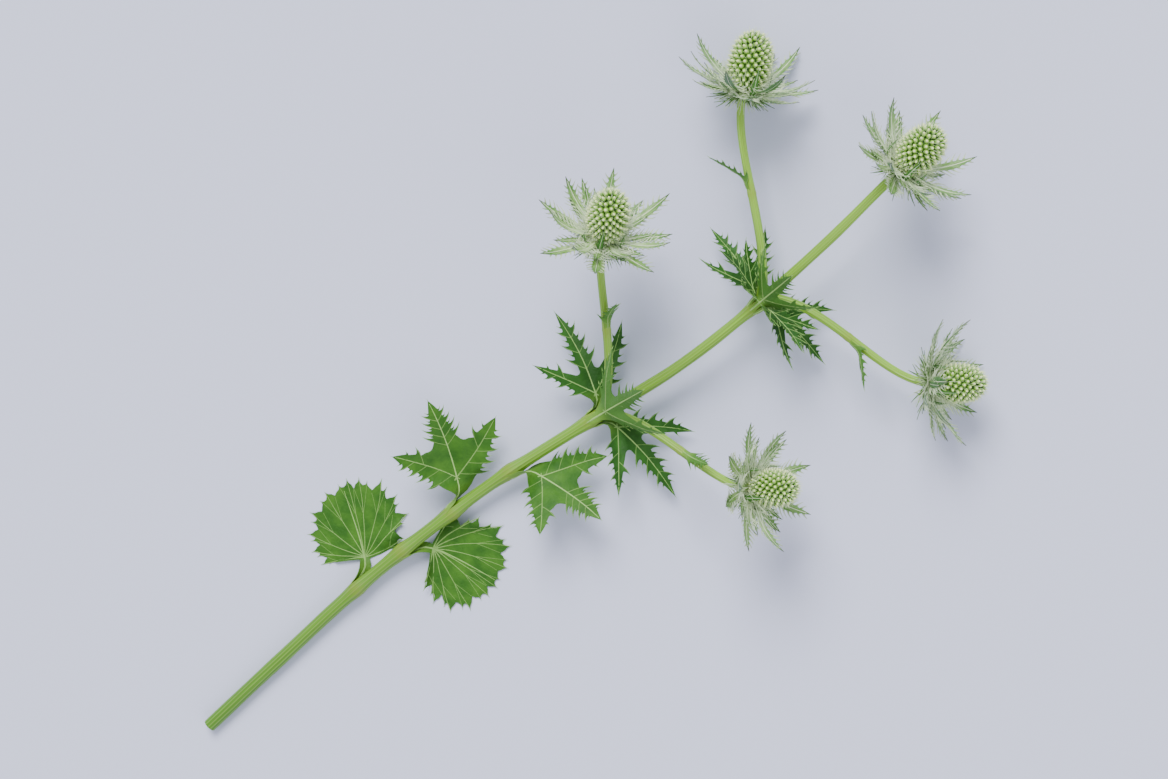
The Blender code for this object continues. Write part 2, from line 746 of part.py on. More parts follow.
def main_stem_route():
    facing = Vector(HEADS[0][1]).normalized()
    end = Vector(HEADS[0][0]) + facing * (COLLAR_BOTTOM - SEAT_GAP)
    before = end - facing * 18
    return smooth_route(MAIN_ROUTE[:-1] + (tuple(before), tuple(end)), ROUTE_STEPS)


def main_stem(main, group, material):
    solid = as_mesh_object(tube("main_stem", main, even_stations(main, STEM_NODES)), group)
    solid.data.materials.append(material)


def centre_part(group):
    """Move the whole part so that its box is centred on the origin."""
    for thing in group.objects:
        thing.data.transform(Matrix.Translation(-CENTRE * MM))


def build():
    empty_the_scene()
    group = new_collection(NAME)
    stem_green = plain_material("stem_green", (0.26, 0.42, 0.08), 0.5)
    cone_green = plain_material("cone_green", (0.36, 0.50, 0.16), 0.7)
    bract_silver = plain_material("bract_silver", (0.50, 0.62, 0.46), 0.55)
    leaf_light = plain_material("leaf_light", (0.10, 0.28, 0.07), 0.5)
    leaf_dark = plain_material("leaf_dark", (0.04, 0.17, 0.05), 0.5)
    main = Stem(main_stem_route(), main_radius)
    main_stem(main, group, stem_green)
    side_stems = []
    for number, (head, distance, azimuth, lean) in enumerate(SIDE_STEMS):
        stem = Stem(side_stem_route(main, head, distance, azimuth, lean), side_radius)
        side_stem(number + 1, stem, main, group, stem_green)
        side_stems.append(stem)
    for head in range(len(HEADS)):
        bract_ruff(head, group, bract_silver)
        flower_cone(head, group, cone_green)
    lower_leaves(main, group, leaf_light)
    middle_leaves(main, group, leaf_dark)
    whorl_leaves(main, group, leaf_dark)
    side_leaves(side_stems, group, leaf_dark)
    centre_part(group)


build()
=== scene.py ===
"""Dresses a packed stem of sea holly with its finished stalks, cones, bracts and leaves.

The layout is worked out in millimetres in the stem's own frame, with +Y towards the top head and +Z up.
Each mesh is moved by -CENTRE and scaled to metres as it is finished.
"""

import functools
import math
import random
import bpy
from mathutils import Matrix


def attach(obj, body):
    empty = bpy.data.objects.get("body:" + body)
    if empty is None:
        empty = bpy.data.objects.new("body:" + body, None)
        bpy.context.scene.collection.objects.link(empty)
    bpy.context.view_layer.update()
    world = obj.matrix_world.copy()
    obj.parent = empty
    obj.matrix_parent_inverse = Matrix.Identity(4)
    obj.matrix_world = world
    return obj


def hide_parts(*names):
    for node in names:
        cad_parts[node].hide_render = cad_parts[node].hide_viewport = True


bl_info = {
    "name": "Sea Holly Stem",
    "version": (1, 0, 0),
    "blender": (4, 5, 0),
    "location": "3D View > Sidebar > Sea Holly",
    "description": "A cut stem of sea holly: ribbed stalks, cones of buds, spiny bracts and cut leaves",
    "category": "Add Mesh",
}

import bmesh
import bpy
from mathutils import Matrix, Vector

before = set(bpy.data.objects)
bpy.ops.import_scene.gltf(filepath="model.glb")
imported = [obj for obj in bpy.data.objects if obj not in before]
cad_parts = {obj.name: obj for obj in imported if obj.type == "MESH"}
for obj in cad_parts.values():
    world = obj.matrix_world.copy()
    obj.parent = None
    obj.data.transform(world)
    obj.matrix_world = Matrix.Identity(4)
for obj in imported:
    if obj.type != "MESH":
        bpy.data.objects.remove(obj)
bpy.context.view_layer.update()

MM = 0.001
CENTRE = Vector((0.1, 290.8, 0.0))
SEAT_GAP = 0.3
SOLID_BLADE = 0.6
FLOOR = SOLID_BLADE / 2
CREASE = math.radians(60)

# The main stem's route
MAIN_ROUTE = (
    (12, 26, 3.7),
    (6, 80, 4.6),
    (-1, 150, 6.6),
    (-3, 230, 10.0),
    (1, 300, 15.0),
    (6, 360, 20.5),
    (5, 410, 26.0),
    (0, 466, 33.0),
)
ROUTE_STEPS = 160
END_RUN = 18.0
MAIN_RADIUS = 3.5
MAIN_TIP_RADIUS = 2.0
TAPER_LENGTH = 560.0
TAPER_POWER = 1.6
NODE_SWELLING = 0.9
NODE_WIDTH = 7.0
STEM_NODES = (118.0, 152.0, 188.0, 228.0, 282.0, 392.0)

# Each head: where its collar sits, the way the cone points, and its size
HEADS = (
    ((-8.0, 524.0, 46.0), (-0.12, 0.90, 0.42), 1.0),
    ((-90.0, 480.0, 26.9), (-0.60, 0.76, 0.22), 1.05),
    ((92.0, 468.0, 26.3), (0.58, 0.79, 0.18), 0.94),
    ((-72.0, 380.0, 60.0), (-0.42, 0.68, 0.60), 1.02),
    ((80.0, 362.0, 48.0), (0.46, 0.74, 0.48), 0.92),
)

# Each side stem: the head it carries, its distance up the main stem, azimuth, and how far it leans out
SIDE_STEMS = (
    (1, 397.0, 182.0, 40.0),
    (2, 400.0, -4.0, 42.0),
    (3, 288.0, 148.0, 36.0),
    (4, 291.0, 28.0, 36.0),
)
SIDE_RADIUS = 2.3
SIDE_TIP_RADIUS = 1.9
SIDE_TAPER = 0.004
SIDE_POINTS = 40

# How a stalk is cut up and swollen: its sides, spans and ribs, then how far it swells at foot and neck
MAIN_STALK = (48, 210, 12, 0.0, 0.7)
SIDE_STALK = (36, 60, 9, 0.9, 0.7)
MAIN_AGES = (0.0, 0.8)
SIDE_AGES = (0.55, 1.0)
FOOT_WIDTH = 6.0
NECK_WIDTH = 4.0
NODE_LINE = 0.22
NODE_LINE_WIDTH = 1.1
NODE_TINT = 0.42
NODE_TINT_WIDTH = 4.0
WOBBLE = 0.06
WOBBLE_LENGTH = 7.0
SKIN = 0.12
RIND = 0.22
RIND_PALENESS = 0.6

# The cone of buds and the collar under it
CONE_LENGTH = 28.0
CONE_RADIUS = 10.2
CONE_WIDEST = 11.0
CONE_BASE_DEPTH = 14.0
COLLAR_RADIUS = 5.2
COLLAR_WAIST = 2.6
COLLAR_TOP = 1.2
COLLAR_BOTTOM = -2.4

# The long bracts, in two layers
BRACTS_ROUND = 7
BRACT_LAYERS = (
    # first azimuth, height of the roots, lean at the root and the tip, length, lift off the surface
    (0.0, 0.0, 84.0, 36.0, 37.0, 1.5),
    (26.0, -1.0, 96.0, 62.0, 34.0, 0.0),
)
BRACT_ROOT_OUT = 3.4
BRACT_ROOT_WIDTH = 1.4
BRACT_SPINES = 10
BRACT_MIDRIB = 0.46
BRACT_MIDRIB_END = 0.23
MIDRIB_SPANS = 14
BRACT_CUP = 0.05
BRACT_CUT = 2.6
BRACT_LIFT = 0.75
CURLED_MOST = -40.0

# The thin lobes under them, and the short bracts against the cone
SKIRT_LOBES = 7
SKIRT_LENGTHS = (13.0, 19.0)
SKIRT_LEANS = (106.0, 122.0)
SHORT_BRACTS = (75.0, 220.0)
SHORT_LENGTH = 24.0
SHORT_ROOT_OUT = 3.6
SHORT_FLAT = 4.6
SHORT_TURN = 13.3
SHORT_MIDRIB = (0.32, 0.2)
SHORT_CUP = 0.08
SHORT_CUT = 1.6
LOBE_CUP = 0.02
LOBE_CUT = 3.5
LOBE_HALF_WIDTH = 0.75
LOW_CLEARANCE = 0.1

# The finer growth between them: its lengths, its leans, how far it curls and its size
FINE_LENGTHS = (20.0, 29.0)
FINE_LEANS = (84.0, 98.0)
FINE_CURLS = (20, 48)
FINE_SCALE = 0.66
FINE_SPINES = 7
THIN_LENGTHS = (8.0, 17.0)
THIN_LEANS = (86.0, 128.0)
MORE_SHORT_BRACTS = (20.0, 140.0, 285.0)
MORE_SHORT_PARTS = (0.62, 0.8)

# Whiskers grow in rings: how far out and how high they start, their leans and their lengths
WHISKER_RINGS = (
    ((2.8, 4.8), (-1.8, 0.6), (66.0, 120.0), (10.0, 18.0)),
    ((5.0, 8.0), (1.6, 4.6), (36.0, 76.0), (8.0, 14.0)),
    ((3.0, 4.6), (-2.2, -0.8), (104.0, 146.0), (9.0, 15.0)),
)
WHISKER_RADII = (0.26, 0.2, 0.05)
WHISKER_SWAY = (-0.25, 0.25)
WHISKER_RISE = (0.5, 2.5)

# Leaves, each with its place on the stem and its shape; cup is how far a blade is rolled across
LOWER_LEAVES = (
    # kind, distance, azimuth, spread, droop, cup, face-up, size, height above the surface
    ("fan", 114.0, 212.0, 66.0, 0.1, 0.002, 106.0, 1.0, 0.0),
    ("fan", 148.0, -26.0, 62.0, 0.2, 0.008, 96.0, 0.94, 0.5),
    ("cut", 184.0, 168.0, 58.0, 0.3, 0.012, 80.0, 1.15, 0.5),
    ("cut", 224.0, 20.0, 54.0, 0.3, 0.012, 76.0, 1.08, 0.5),
)
MIDDLE_NODE = 278.0
MIDDLE_LEAVES = (
    # azimuth, spread, droop, face-up, length
    (188.0, 72.0, 0.4, 62.0, 66.0),
    (-8.0, 70.0, 0.4, 62.0, 66.0),
    (90.0, 36.0, 0.3, 0.0, 66.0),
)
WHORL_NODE = 388.0
WHORL_LEAVES = (
    # azimuth, spread, droop, face-up, length
    (-22.0, 84.0, 0.3, 50.0, 54.0),
    (36.0, 72.0, 0.4, 20.0, 46.0),
    (90.0, 36.0, 0.4, 0.0, 54.0),
    (144.0, 70.0, 0.4, 20.0, 46.0),
    (202.0, 84.0, 0.3, 50.0, 54.0),
)
SIDE_LEAVES = (
    # side stem, part of its length, azimuth, spread
    (0, 0.52, 150.0, 46.0),
    (1, 0.50, 40.0, 46.0),
    (2, 0.48, 60.0, 44.0),
    (3, 0.52, 110.0, 44.0),
)
SIDE_LEAF_LENGTH = 30.0
LEAF_CLEARANCE = 0.5

# The buds of a cone and the needles between them
GOLDEN_TURN = math.pi * (3 - math.sqrt(5))
BUDS = 190
BUD_SINK = 1.3
BUD_HEIGHT = 2.6
BUD_SIDES = 7
BUD_PROFILE = (
    (0.0, -0.9),
    (1.2, -0.3),
    (1.52, 0.5),
    (1.26, 1.15),
    (0.70, 1.5),
    (0.56, 1.8),
    (0.64, 2.15),
    (0.42, 2.55),
    (0.0, 2.72),
)
BUD_SIZES = (0.93, 1.05)
BUD_RISE = Vector((0, 0, 0.18))
NEEDLES_A_BUD = 3
NEEDLE_RISE = Vector((0, 0, 0.12))
NEEDLE_SPREAD = (0.0, 0.22)
NEEDLE_LENGTHS = (0.75, 1.1)
NEEDLE_OUT = 1.25
NEEDLE_RADII = (0.13, 0.03)
CORE_DEPTH = 1.5
CORE_RINGS = 20
# The core's place on the bud colour ramp: dark green painted shade deep in the gaps between the buds
CORE_PAINTED_SHADE = 0.2

# Veins, each with its radius at the root and at the tip
CUT_MIDRIB = (0.62, 0.27)
LOBE_VEIN = (0.44, 0.27)
TOOTH_VEIN = (0.28, 0.24)
STRAP_MIDRIB = (0.45, 0.25)
FAN_MIDRIB = (0.75, 0.26)
FAN_VEIN = (0.42, 0.27)
FAN_SMALL_VEIN = (0.28, 0.25)
SMALL_VEIN = 0.3
VEIN_LIFT = 0.07
TUBE_GRAIN = (0.5, 0.0, 0.0)

# The finish of a leaf: its margin, the spines on its corners, and the relief between its veins
SHARP = math.radians(58)
MARGIN = 0.16
TIP_BACK = 0.8
TIP_ON = 1.3
TIP_RADII = (0.24, 0.17, 0.04)
LEAF_CUTS = (1.8, 2.0)
FOLD_REACH = 7.0
FOLD_ROUND = 2.4
QUILT = 0.12
QUILT_REACH = 2.5
QUILT_ROUND = 1.2
SHEATH_SINK = 2.2


def linear(code):
    """A linear colour from an sRGB hex value."""
    parts = [int(code[i:i + 2], 16) / 255 for i in (0, 2, 4)]
    return tuple(part / 12.92 if part <= 0.04045 else ((part + 0.055) / 1.055) ** 2.4 for part in parts)


def colour_setting(name, description, code):
    """A colour, with its first value from an sRGB hex value."""
    return bpy.props.FloatVectorProperty(name=name, description=description, default=linear(code),
                                         subtype="COLOR", size=3, min=0.0, max=1.0)


class SeaHollySettings(bpy.types.PropertyGroup):
    rib_height: bpy.props.FloatProperty(
        name="Rib height", description="How far the fine ribs stand out of a stalk",
        default=0.00017, min=0.0, max=0.001, unit="LENGTH", precision=5)
    blade: bpy.props.FloatProperty(
        name="Blade thickness", description="Thickness of the bracts and leaves",
        default=0.0003, min=0.0001, max=0.001, unit="LENGTH", precision=5)
    needle: bpy.props.FloatProperty(
        name="Needle length", description="Length of the pale needles between the buds",
        default=0.0042, min=0.001, max=0.01, unit="LENGTH", precision=4)
    fine_bracts: bpy.props.IntProperty(
        name="Fine bracts", description="Thin bracts between the long ones of a head", default=14, min=0)
    whiskers: bpy.props.IntProperty(
        name="Whiskers", description="Thin whiskers round the foot of a cone", default=270, min=0)
    skirt_lobes: bpy.props.IntProperty(
        name="Skirt lobes", description="Thin lobes under the bracts of a head", default=24, min=0)
    stalk: colour_setting("Stalk", "Fresh stalk, at its lower end", "437212")
    stalk_tip: colour_setting("Stalk tip", "Younger stalk under the heads", "7fa734")
    bud_tip: colour_setting("Bud tips", "Closed petals of the buds", "e6f3b2")
    bud_side: colour_setting("Bud sides", "Green cups that hold the buds", "6a9a2e")
    bract_inner: colour_setting("Bract inside", "Silver face of the bracts", "daebc0")
    bract_outer: colour_setting("Bract outside", "Green face of the bracts", "568a3a")
    leaf_dark: colour_setting("Upper leaves", "Leaves of the branch nodes", "1f4a12")
    leaf_light: colour_setting("Lower leaves", "Broad leaves low on the stem", "2b5916")
    floor: colour_setting("Floor", "Pale studio floor", "ced2e9")


def settings():
    return bpy.context.scene.sea_holly


def clamped(value, low=0.0, high=1.0):
    """A value kept between two others."""
    return min(max(value, low), high)


def eased(part):
    """A part from 0 to 1 that starts and stops gently."""
    return part * part * (3 - 2 * part)


def smooth_route(points, count):
    """Points at even steps along a smooth curve through the given points."""
    corners = [Vector(point) for point in points]
    corners.insert(0, corners[0] * 2 - corners[1])
    corners.append(corners[-1] * 2 - corners[-2])
    spans = len(corners) - 3
    route = []
    for step in range(count):
        place = spans * step / (count - 1)
        span = min(int(place), spans - 1)
        t = place - span
        a, b, c, d = corners[span:span + 4]
        route.append(0.5 * (2 * b + (c - a) * t + (2 * a - 5 * b + 4 * c - d) * t ** 2
                            + (3 * b - a - 3 * c + d) * t ** 3))
    return route


def frame_round(point, direction, azimuth):
    """Point, direction, outward and sideways; azimuth 0 is to the right and 90 is up."""
    right = direction.cross(Vector((0, 0, 1))).normalized()
    up = right.cross(direction)
    turn = math.radians(azimuth)
    outward = right * math.cos(turn) + up * math.sin(turn)
    return point, direction, outward, direction.cross(outward)


class Stem:
    """A round stem: its route, and its radius at each distance along it."""

    def __init__(self, route, radius_at):
        self.route = route
        self.radius_at = radius_at
        self.distances = [0.0]
        for before, after in zip(route, route[1:]):
            self.distances.append(self.distances[-1] + (after - before).length)
        self.length = self.distances[-1]

    def at(self, distance):
        """The point on the axis and the direction of the stem at a distance from its lower end."""
        distance = clamped(distance, high=self.length - 0.001)
        span = max(i for i, start in enumerate(self.distances[:-1]) if start <= distance)
        run = self.distances[span + 1] - self.distances[span]
        direction = (self.route[span + 1] - self.route[span]).normalized()
        point = self.route[span].lerp(self.route[span + 1], (distance - self.distances[span]) / run)
        return point, direction

    def frame(self, distance, azimuth):
        point, direction = self.at(distance)
        return frame_round(point, direction, azimuth)


def main_radius(distance):
    """The main stem tapers, and swells at each node."""
    taper = min(distance / TAPER_LENGTH, 1.0)
    radius = MAIN_RADIUS + (MAIN_TIP_RADIUS - MAIN_RADIUS) * taper ** TAPER_POWER
    for node in STEM_NODES:
        radius += NODE_SWELLING * math.exp(-((distance - node) / NODE_WIDTH) ** 2)
    return radius


def side_radius(distance):
    return max(SIDE_RADIUS - SIDE_TAPER * distance, SIDE_TIP_RADIUS)


def main_stem():
    """The main stem, from its cut end to the underside of the top head."""
    facing = Vector(HEADS[0][1]).normalized()
    end = Vector(HEADS[0][0]) + facing * (COLLAR_BOTTOM - SEAT_GAP)
    before = end - facing * END_RUN
    return Stem(smooth_route(MAIN_ROUTE + (tuple(before), tuple(end)), ROUTE_STEPS), main_radius)


def side_stem(main, head, distance, azimuth, lean):
    """A smooth route from inside the main stem to the underside of a head."""
    start, direction, outward, _ = main.frame(distance, azimuth)
    tilt = math.radians(lean)
    leaving = direction * math.cos(tilt) + outward * math.sin(tilt)
    facing = Vector(HEADS[head][1]).normalized()
    end = Vector(HEADS[head][0]) + facing * (COLLAR_BOTTOM - SEAT_GAP)
    reach = (end - start).length
    route = []
    for step in range(SIDE_POINTS + 1):
        t = step / SIDE_POINTS
        route.append(start * (2 * t ** 3 - 3 * t ** 2 + 1) + leaving * reach * (t ** 3 - 2 * t ** 2 + t)
                     + end * (3 * t ** 2 - 2 * t ** 3) + facing * reach * 0.8 * (t ** 3 - t ** 2))
    return Stem(route, side_radius)


class Rib:
    """The midrib of a blade, in the plane of its stem and its outward direction.

    lean_at gives the angle in degrees between the midrib and the stem at each distance.
    """

    STEP = 0.5

    def __init__(self, length, start_out, start_along, lean_at):
        self.places = [(start_out, start_along, math.radians(lean_at(0.0)))]
        for number in range(int(length / self.STEP) + 2):
            out, along, lean = self.places[-1]
            out += math.sin(lean) * self.STEP
            along += math.cos(lean) * self.STEP
            self.places.append((out, along, math.radians(lean_at((number + 1) * self.STEP))))

    def at(self, distance):
        place = max(distance, 0.0) / self.STEP
        index = min(int(place), len(self.places) - 2)
        part = place - index
        before = self.places[index]
        after = self.places[index + 1]
        return tuple(a + (b - a) * part for a, b in zip(before, after))


def bender(stem_frame, rib, wrap_at, floor, twist_at=None, puff=None):
    """A function that takes a point of a flat blade (along, across) to its place in the world.

    wrap_at gives how tightly the blade is rolled across, as one over the radius, twist_at how far it
    is turned about its midrib, in radians, and puff how far it is raised off its smooth sheet.
    """
    point, direction, outward, sideways = stem_frame

    def place(along, across, lift=0.0):
        out, forward, lean = rib.at(along)
        inward = direction * math.sin(lean) - outward * math.cos(lean)
        twist = twist_at(along) if twist_at else 0.0
        beside = sideways * math.cos(twist) + inward * math.sin(twist)
        above = inward * math.cos(twist) - sideways * math.sin(twist)
        wrap = max(wrap_at(along), 0.0001)
        world = point + direction * forward + outward * out
        world += beside * (math.sin(across * wrap) / wrap)
        world += above * ((1 - math.cos(across * wrap)) / wrap + lift)
        if puff:
            world += above * puff(along, across)
        world.z = max(world.z, floor)
        return world

    return place


def straight_tube(sides, spans):
    """A tube of radius 1 from z 0 to z 1, closed at both ends."""
    shape = bmesh.new()
    bmesh.ops.create_cone(shape, cap_ends=True, cap_tris=False, segments=sides, radius1=1, radius2=1,
                          depth=1, matrix=Matrix.Translation((0, 0, 0.5)))
    walls = [edge for edge in shape.edges if abs(edge.verts[0].co.z - edge.verts[1].co.z) > 0.5]
    bmesh.ops.subdivide_edges(shape, edges=walls, cuts=spans - 1)
    return shape


def lathe(profile, steps):
    """A closed turned shape from (radius, height) points whose ends are on the axis."""
    shape = bmesh.new()
    corners = [shape.verts.new((radius, 0, height)) for radius, height in profile]
    edges = [shape.edges.new(pair) for pair in zip(corners, corners[1:])]
    bmesh.ops.spin(shape, geom=corners + edges, axis=(0, 0, 1), cent=(0, 0, 0), angle=math.tau,
                   steps=steps, use_merge=True)
    bmesh.ops.remove_doubles(shape, verts=shape.verts[:], dist=0.00001)
    bmesh.ops.recalc_face_normals(shape, faces=shape.faces[:])
    return shape


def float_layer(shape, name):
    return shape.verts.layers.float.get(name) or shape.verts.layers.float.new(name)


def vector_layer(shape, name):
    return shape.verts.layers.float_vector.get(name) or shape.verts.layers.float_vector.new(name)


def add_copy(shape, mesh, matrix=Matrix.Identity(4)):
    """A copy of a mesh in a shape, moved by a matrix; gives back its vertices."""
    before = len(shape.verts)
    shape.from_mesh(mesh)
    shape.verts.ensure_lookup_table()
    fresh = shape.verts[before:]
    bmesh.ops.transform(shape, matrix=matrix, verts=fresh)
    return fresh


def take_in(shape, part, matrix=Matrix.Identity(4)):
    """Moves a part by a matrix into a shape, and frees the part."""
    mesh = bpy.data.meshes.new("part")
    part.to_mesh(mesh)
    part.free()
    add_copy(shape, mesh, matrix)
    bpy.data.meshes.remove(mesh)


def add_tubes(shape, paths, pale):
    """Thin closed tubes along paths of (point, radius), made from one bevelled curve."""
    curve = bpy.data.curves.new("tubes", "CURVE")
    curve.dimensions = "3D"
    curve.bevel_depth = 1.0
    curve.bevel_resolution = 0
    curve.use_fill_caps = True
    for path in paths:
        spline = curve.splines.new("POLY")
        spline.points.add(len(path) - 1)
        for corner, (point, radius) in zip(spline.points, path):
            corner.co = (*point, 1.0)
            corner.radius = radius
    thing = bpy.data.objects.new("tubes", curve)
    bpy.context.scene.collection.objects.link(thing)
    bpy.context.view_layer.update()
    mesh = bpy.data.meshes.new_from_object(thing.evaluated_get(bpy.context.evaluated_depsgraph_get()))
    bpy.data.objects.remove(thing, do_unlink=True)
    bpy.data.curves.remove(curve)
    layers = ((float_layer(shape, "pale"), pale), (float_layer(shape, "inner"), 0.5),
              (vector_layer(shape, "grain"), TUBE_GRAIN))
    for vert in add_copy(shape, mesh):
        for layer, value in layers:
            vert[layer] = value
    bpy.data.meshes.remove(mesh)


def flat_blade(outline, along_cuts, across_cuts):
    """A flat sheet with the given outline, cut across and along so that it can bend."""
    shape = bmesh.new()
    corners = [shape.verts.new((x, y, 0.0)) for x, y in outline]
    edges = [shape.edges.new((corners[i - 1], corners[i])) for i in range(len(corners))]
    bmesh.ops.triangle_fill(shape, use_beauty=True, use_dissolve=False, edges=edges, normal=(0, 0, 1))
    whole = sum(a[0] * b[1] - b[0] * a[1] for a, b in zip(outline, outline[1:] + outline[:1])) / 2
    filled = sum(face.calc_area() for face in shape.faces)
    if abs(abs(whole) - filled) > 0.01 * filled:
        raise RuntimeError("The outline of a blade crosses itself")
    for cuts, normal in ((along_cuts, (1, 0, 0)), (across_cuts, (0, 1, 0))):
        for cut in cuts:
            everything = shape.verts[:] + shape.edges[:] + shape.faces[:]
            bmesh.ops.bisect_plane(shape, geom=everything, dist=0.0001,
                                   plane_co=Vector(normal) * cut, plane_no=normal)
    bmesh.ops.triangulate(shape, faces=shape.faces[:])
    upside_down = [face for face in shape.faces if face.normal.z < 0]
    bmesh.ops.reverse_faces(shape, faces=upside_down)
    return shape


def even_cuts(first, last, step):
    """Places between two others, about a step apart."""
    count = max(int((last - first) / step), 1)
    return [first + (last - first) * (number + 0.5) / count for number in range(count)]


def add_blade(shape, outline, place, cuts, tone, pale_at=None):
    """A thin bent solid; grain holds how far along it each point is, how far across, and its tone."""
    sheet = flat_blade(outline, *cuts)
    grain = vector_layer(sheet, "grain")
    inner = float_layer(sheet, "inner")
    pale = float_layer(sheet, "pale")
    length = max(point[0] for point in outline)
    for vert in sheet.verts:
        if pale_at:
            vert[pale] = pale_at(vert.co.x, vert.co.y)
        vert[grain] = (vert.co.x / length, vert.co.y, tone)
        vert[inner] = 1.0
        vert.co = place(vert.co.x, vert.co.y)
    sheet.normal_update()
    thickness = settings().blade / MM
    lifts = [vert.normal * thickness / 2 for vert in sheet.verts]
    for vert, lift in zip(sheet.verts, lifts):
        vert.co += lift
    before = len(sheet.verts)
    bmesh.ops.solidify(sheet, geom=sheet.faces[:], thickness=thickness)
    sheet.verts.ensure_lookup_table()
    for vert in sheet.verts[before:]:
        vert[inner] = 0.0
    take_in(shape, sheet)


def finish_piece(shape, name, material, node):
    """Makes the piece's object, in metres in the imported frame, in place of its node."""
    bmesh.ops.transform(shape, matrix=Matrix.Scale(MM, 4) @ Matrix.Translation(-CENTRE),
                        verts=shape.verts[:])
    for edge in shape.edges:
        edge.smooth = edge.calc_face_angle(0.0) < CREASE
    for face in shape.faces:
        face.smooth = True
    mesh = bpy.data.meshes.new(name)
    shape.to_mesh(mesh)
    shape.free()
    mesh.materials.append(material)
    piece = bpy.data.objects.new(name, mesh)
    bpy.context.scene.collection.objects.link(piece)
    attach(piece, "root")
    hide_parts(node)


def add_node(tree, kind, options=(), values=(), links=()):
    """A shader node with its options, its sockets' values, and links from (node, socket) to its sockets."""
    node = tree.nodes.new("ShaderNode" + kind)
    for name, value in dict(options).items():
        setattr(node, name, value)
    for socket, value in dict(values).items():
        node.inputs[socket].default_value = value
    for socket, (source, output) in dict(links).items():
        tree.links.new(source.outputs[output], node.inputs[socket])
    return node


# Sockets of a Mix node that mixes colours
FACTOR, FIRST, SECOND, MIXED = 0, 6, 7, 2
COLOURS = {"data_type": "RGBA"}


def colour_value(colour):
    """The value of a colour socket, from a linear colour or an sRGB hex value."""
    return (*(linear(colour) if isinstance(colour, str) else colour), 1.0)


def plant_material(name, fields, roughness, grain_size, bump):
    """A new material with a fine relief, its add-node function, its shader and its fields by name."""
    material = bpy.data.materials.new(name)
    material.use_nodes = True
    add = functools.partial(add_node, material.node_tree)
    shader = material.node_tree.nodes["Principled BSDF"]
    shader.inputs["Roughness"].default_value = roughness
    field = {"place": (add("TexCoord"), "Object")}
    for kept in fields:
        attribute = add("Attribute", {"attribute_name": kept})
        field[kept] = (attribute, "Fac")
        if kept == "grain":
            field[kept] = (attribute, "Vector")
            parts = add("SeparateXYZ", links={0: field[kept]})
            field.update(along=(parts, 0), tone=(parts, 2))
    fine = add("TexNoise", values={"Scale": 1 / (grain_size * MM), "Detail": 3.0},
               links={"Vector": field["place"]})
    relief = add("Bump", values={"Strength": 0.5, "Distance": bump * MM}, links={"Height": (fine, 0)})
    material.node_tree.links.new(relief.outputs[0], shader.inputs["Normal"])
    return material, add, shader, field


def painted(material, mixed):
    """The material, with the colours that a node has mixed on its shader."""
    tree = material.node_tree
    tree.links.new(mixed.outputs[MIXED], tree.nodes["Principled BSDF"].inputs["Base Color"])
    return material


def stalk_material():
    """Fresh herbaceous stalk: satin skin, pale streaks and ridges along it, browner at the nodes."""
    material, add, _, field = plant_material(
        "fresh_stalk", ("grain", "age", "joint", "cut"), roughness=0.42, grain_size=0.9, bump=0.05)
    stretch = add("Mapping", values={"Scale": (0.02, 1.3, 0.0)}, links={"Vector": field["grain"]})
    streaks = add("TexNoise", values={"Scale": 1.0, "Detail": 2.0}, links={"Vector": (stretch, 0)})
    streak_part = add("MapRange", values={"From Min": 0.38, "From Max": 0.66}, links={"Value": (streaks, 0)})
    green = add("Mix", COLOURS,
                {FIRST: colour_value(settings().stalk), SECOND: colour_value(settings().stalk_tip)},
                {FACTOR: field["age"]})
    pale = add("Mix", {**COLOURS, "blend_type": "OVERLAY"}, {SECOND: colour_value("dcebaa")},
               {FACTOR: (streak_part, 0), FIRST: (green, MIXED)})
    calm = add("Mix", COLOURS, {FACTOR: 0.7}, {FIRST: (green, MIXED), SECOND: (pale, MIXED)})
    ridge_part = add("MapRange", values={"From Min": 0.2, "To Max": 0.34}, links={"Value": field["tone"]})
    ridged = add("Mix", COLOURS, {SECOND: colour_value("adc764")},
                 {FACTOR: (ridge_part, 0), FIRST: (calm, MIXED)})
    browned = add("Mix", COLOURS, {SECOND: colour_value("7f8a28")},
                  {FACTOR: field["joint"], FIRST: (ridged, MIXED)})
    cells = add("TexVoronoi", values={"Scale": 1 / (0.45 * MM)}, links={"Vector": field["place"]})
    pith = add("Mix", COLOURS, {FIRST: colour_value("e2e6bf"), SECOND: colour_value("a9bb74")},
               {FACTOR: (cells, 0)})
    done = add("Mix", COLOURS, (), {FACTOR: field["cut"], FIRST: (browned, MIXED), SECOND: (pith, MIXED)})
    return painted(material, done)


def paint_ramp(ramp, stops):
    """Sets a colour ramp's stops from (position, colour) pairs."""
    elements = ramp.color_ramp.elements
    while len(elements) < len(stops):
        elements.new(0.5)
    for element, (position, colour) in zip(elements, stops):
        element.position = position
        element.color = colour_value(colour)


def bud_material():
    """Packed flower buds: dark green painted shade in the gaps, green cups and pale creamy closed petals."""
    material, add, shader, field = plant_material(
        "flower_buds", ("bud", "pale"), roughness=0.5, grain_size=0.7, bump=0.03)
    shader.inputs["Subsurface Weight"].default_value = 0.08
    shader.inputs["Subsurface Radius"].default_value = (0.0008, 0.0010, 0.0004)
    # The dark greens at the low end are painted shade in the gaps between buds and on the core; then come
    # the cups and the petals
    ramp = add("ValToRGB", links={0: field["bud"]})
    paint_ramp(ramp, ((0.0, "2f5414"), (0.3, "4a7b1f"), (0.58, settings().bud_side), (0.7, "93b94c"),
                      (0.8, settings().bud_tip)))
    done = add("Mix", COLOURS, {SECOND: colour_value("dbe9c4")}, {FACTOR: field["pale"], FIRST: (ramp, 0)})
    return painted(material, done)


